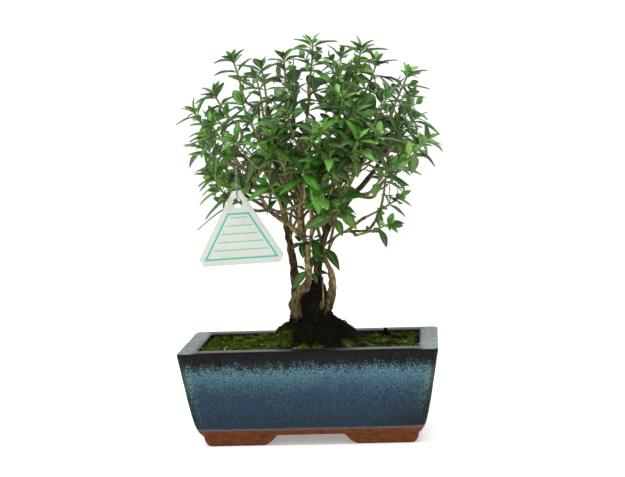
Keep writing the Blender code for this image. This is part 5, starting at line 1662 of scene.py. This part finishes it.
# Writing lines across the tag, inside the frame
rule = add(tree, "Math", {0: from_bottom, 1: -FIRST_LINE}, operation="ADD")
rule = add(tree, "Math", {0: rule, 1: LINE_PITCH / 2}, operation="PINGPONG")
rule = add(tree, "Math", {0: rule, 1: LINE_HALF}, operation="LESS_THAN")
inner = add(tree, "Math", {0: framed, 1: FRAME_GAP}, operation="GREATER_THAN")
rule = add(tree, "Math", {0: rule, 1: inner}, operation="MULTIPLY")
ink = add(tree, "Math", {0: border, 1: rule}, operation="MAXIMUM")
spot = add(tree, "TexCoord", result="Object")
scuff = add(tree, "TexNoise", {"Vector": spot, "Scale": 90.0, "Detail": 5.0})
sheet_white = add(tree, "ValToRGB", {0: scuff}, stops=[(0.3, "#b1b5ab"), (0.75, "#b9bdb3")])
inked = add(tree, "Mix", {0: ink, 6: sheet_white, 7: linear("#35a08f")}, data_type="RGBA")
gloss = add(tree, "MapRange", {"Value": scuff, "To Min": 0.35, "To Max": 0.5})
plug(shader, {"Base Color": inked, "Roughness": gloss, "IOR": 1.53})
tag.data.materials.clear()
tag.data.materials.append(pvc)
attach(tag, "root")
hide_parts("tag")


# The tag's wire: one length of thin soft steel, looped through the hole, twisted by hand, and
# closed round the limb.
WIRE_RADIUS, WIRE_TURNS, TWIST_RADIUS, TWIST_STEPS = 0.5, 3.5, 0.62, 40
_, first, last, route = LIMBS["tag_limb"]
for i, (a, b) in enumerate(zip(route, route[1:])):
    if min(a[0], b[0]) <= TAG_HOLE.x <= max(a[0], b[0]):
        a, b = Vector(a), Vector(b)
        share = (TAG_HOLE.x - a.x) / (b.x - a.x)
        limb = a.lerp(b, share)
        limb_radius = first + (last - first) * (i + share) / (len(route) - 1)
clear = limb_radius + WIRE_RADIUS + 0.5
hole_top = TAG_HOLE.z + TAG_HOLE_RADIUS
twist_low, twist_high = hole_top + 3.0, limb.z - clear - 2.0


def twisted(t, start_turn):
    """A point on one of the two twisted legs, from the limb at 0 to the tag at 1."""
    z = twist_high + (twist_low - twist_high) * t
    centre_y = limb.y + (TAG_HOLE.y - limb.y) * t
    turn = start_turn + math.tau * WIRE_TURNS * t
    return Vector((TAG_HOLE.x + TWIST_RADIUS * math.cos(turn), centre_y + TWIST_RADIUS * math.sin(turn), z))


wire_line = []
for k in range(13):
    turn = math.pi * k / 12
    wire_line.append(Vector((TAG_HOLE.x, limb.y - clear * math.cos(turn), limb.z + clear * math.sin(turn))))
wire_line += [twisted(k / TWIST_STEPS, math.pi / 2) for k in range(TWIST_STEPS + 1)]
waist = TAG_THICKNESS / 2 + WIRE_RADIUS + 0.25
loop_z = hole_top - WIRE_RADIUS - 0.3 + waist
end_side = math.copysign(1.0, wire_line[-1].y - TAG_HOLE.y)
for k in range(7):
    turn = math.pi * k / 6
    wire_line.append(Vector((
        TAG_HOLE.x, TAG_HOLE.y + end_side * waist * math.cos(turn), loop_z - waist * math.sin(turn))))
wire_line += [twisted(1 - k / TWIST_STEPS, -math.pi / 2) for k in range(TWIST_STEPS + 1)]
steel, tree, shader = new_material("drawn_steel_wire")
spot = add(tree, "TexCoord", result="Object")
tarnish = add(tree, "TexNoise", {"Vector": spot, "Scale": 300.0, "Detail": 4.0})
grey = add(tree, "ValToRGB", {0: tarnish}, stops=[(0.35, "#5b5c60"), (0.65, "#a9abb0")])
worn = add(tree, "MapRange", {"Value": tarnish, "To Min": 0.3, "To Max": 0.5})
plug(shader, {"Base Color": grey, "Roughness": worn, "Metallic": 1.0})
wire = new_piece("twisted_wire", line_tube([(p, WIRE_RADIUS) for p in wire_line], 10), [steel], sharp=60)
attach(wire, "root")
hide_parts("tag_wire")
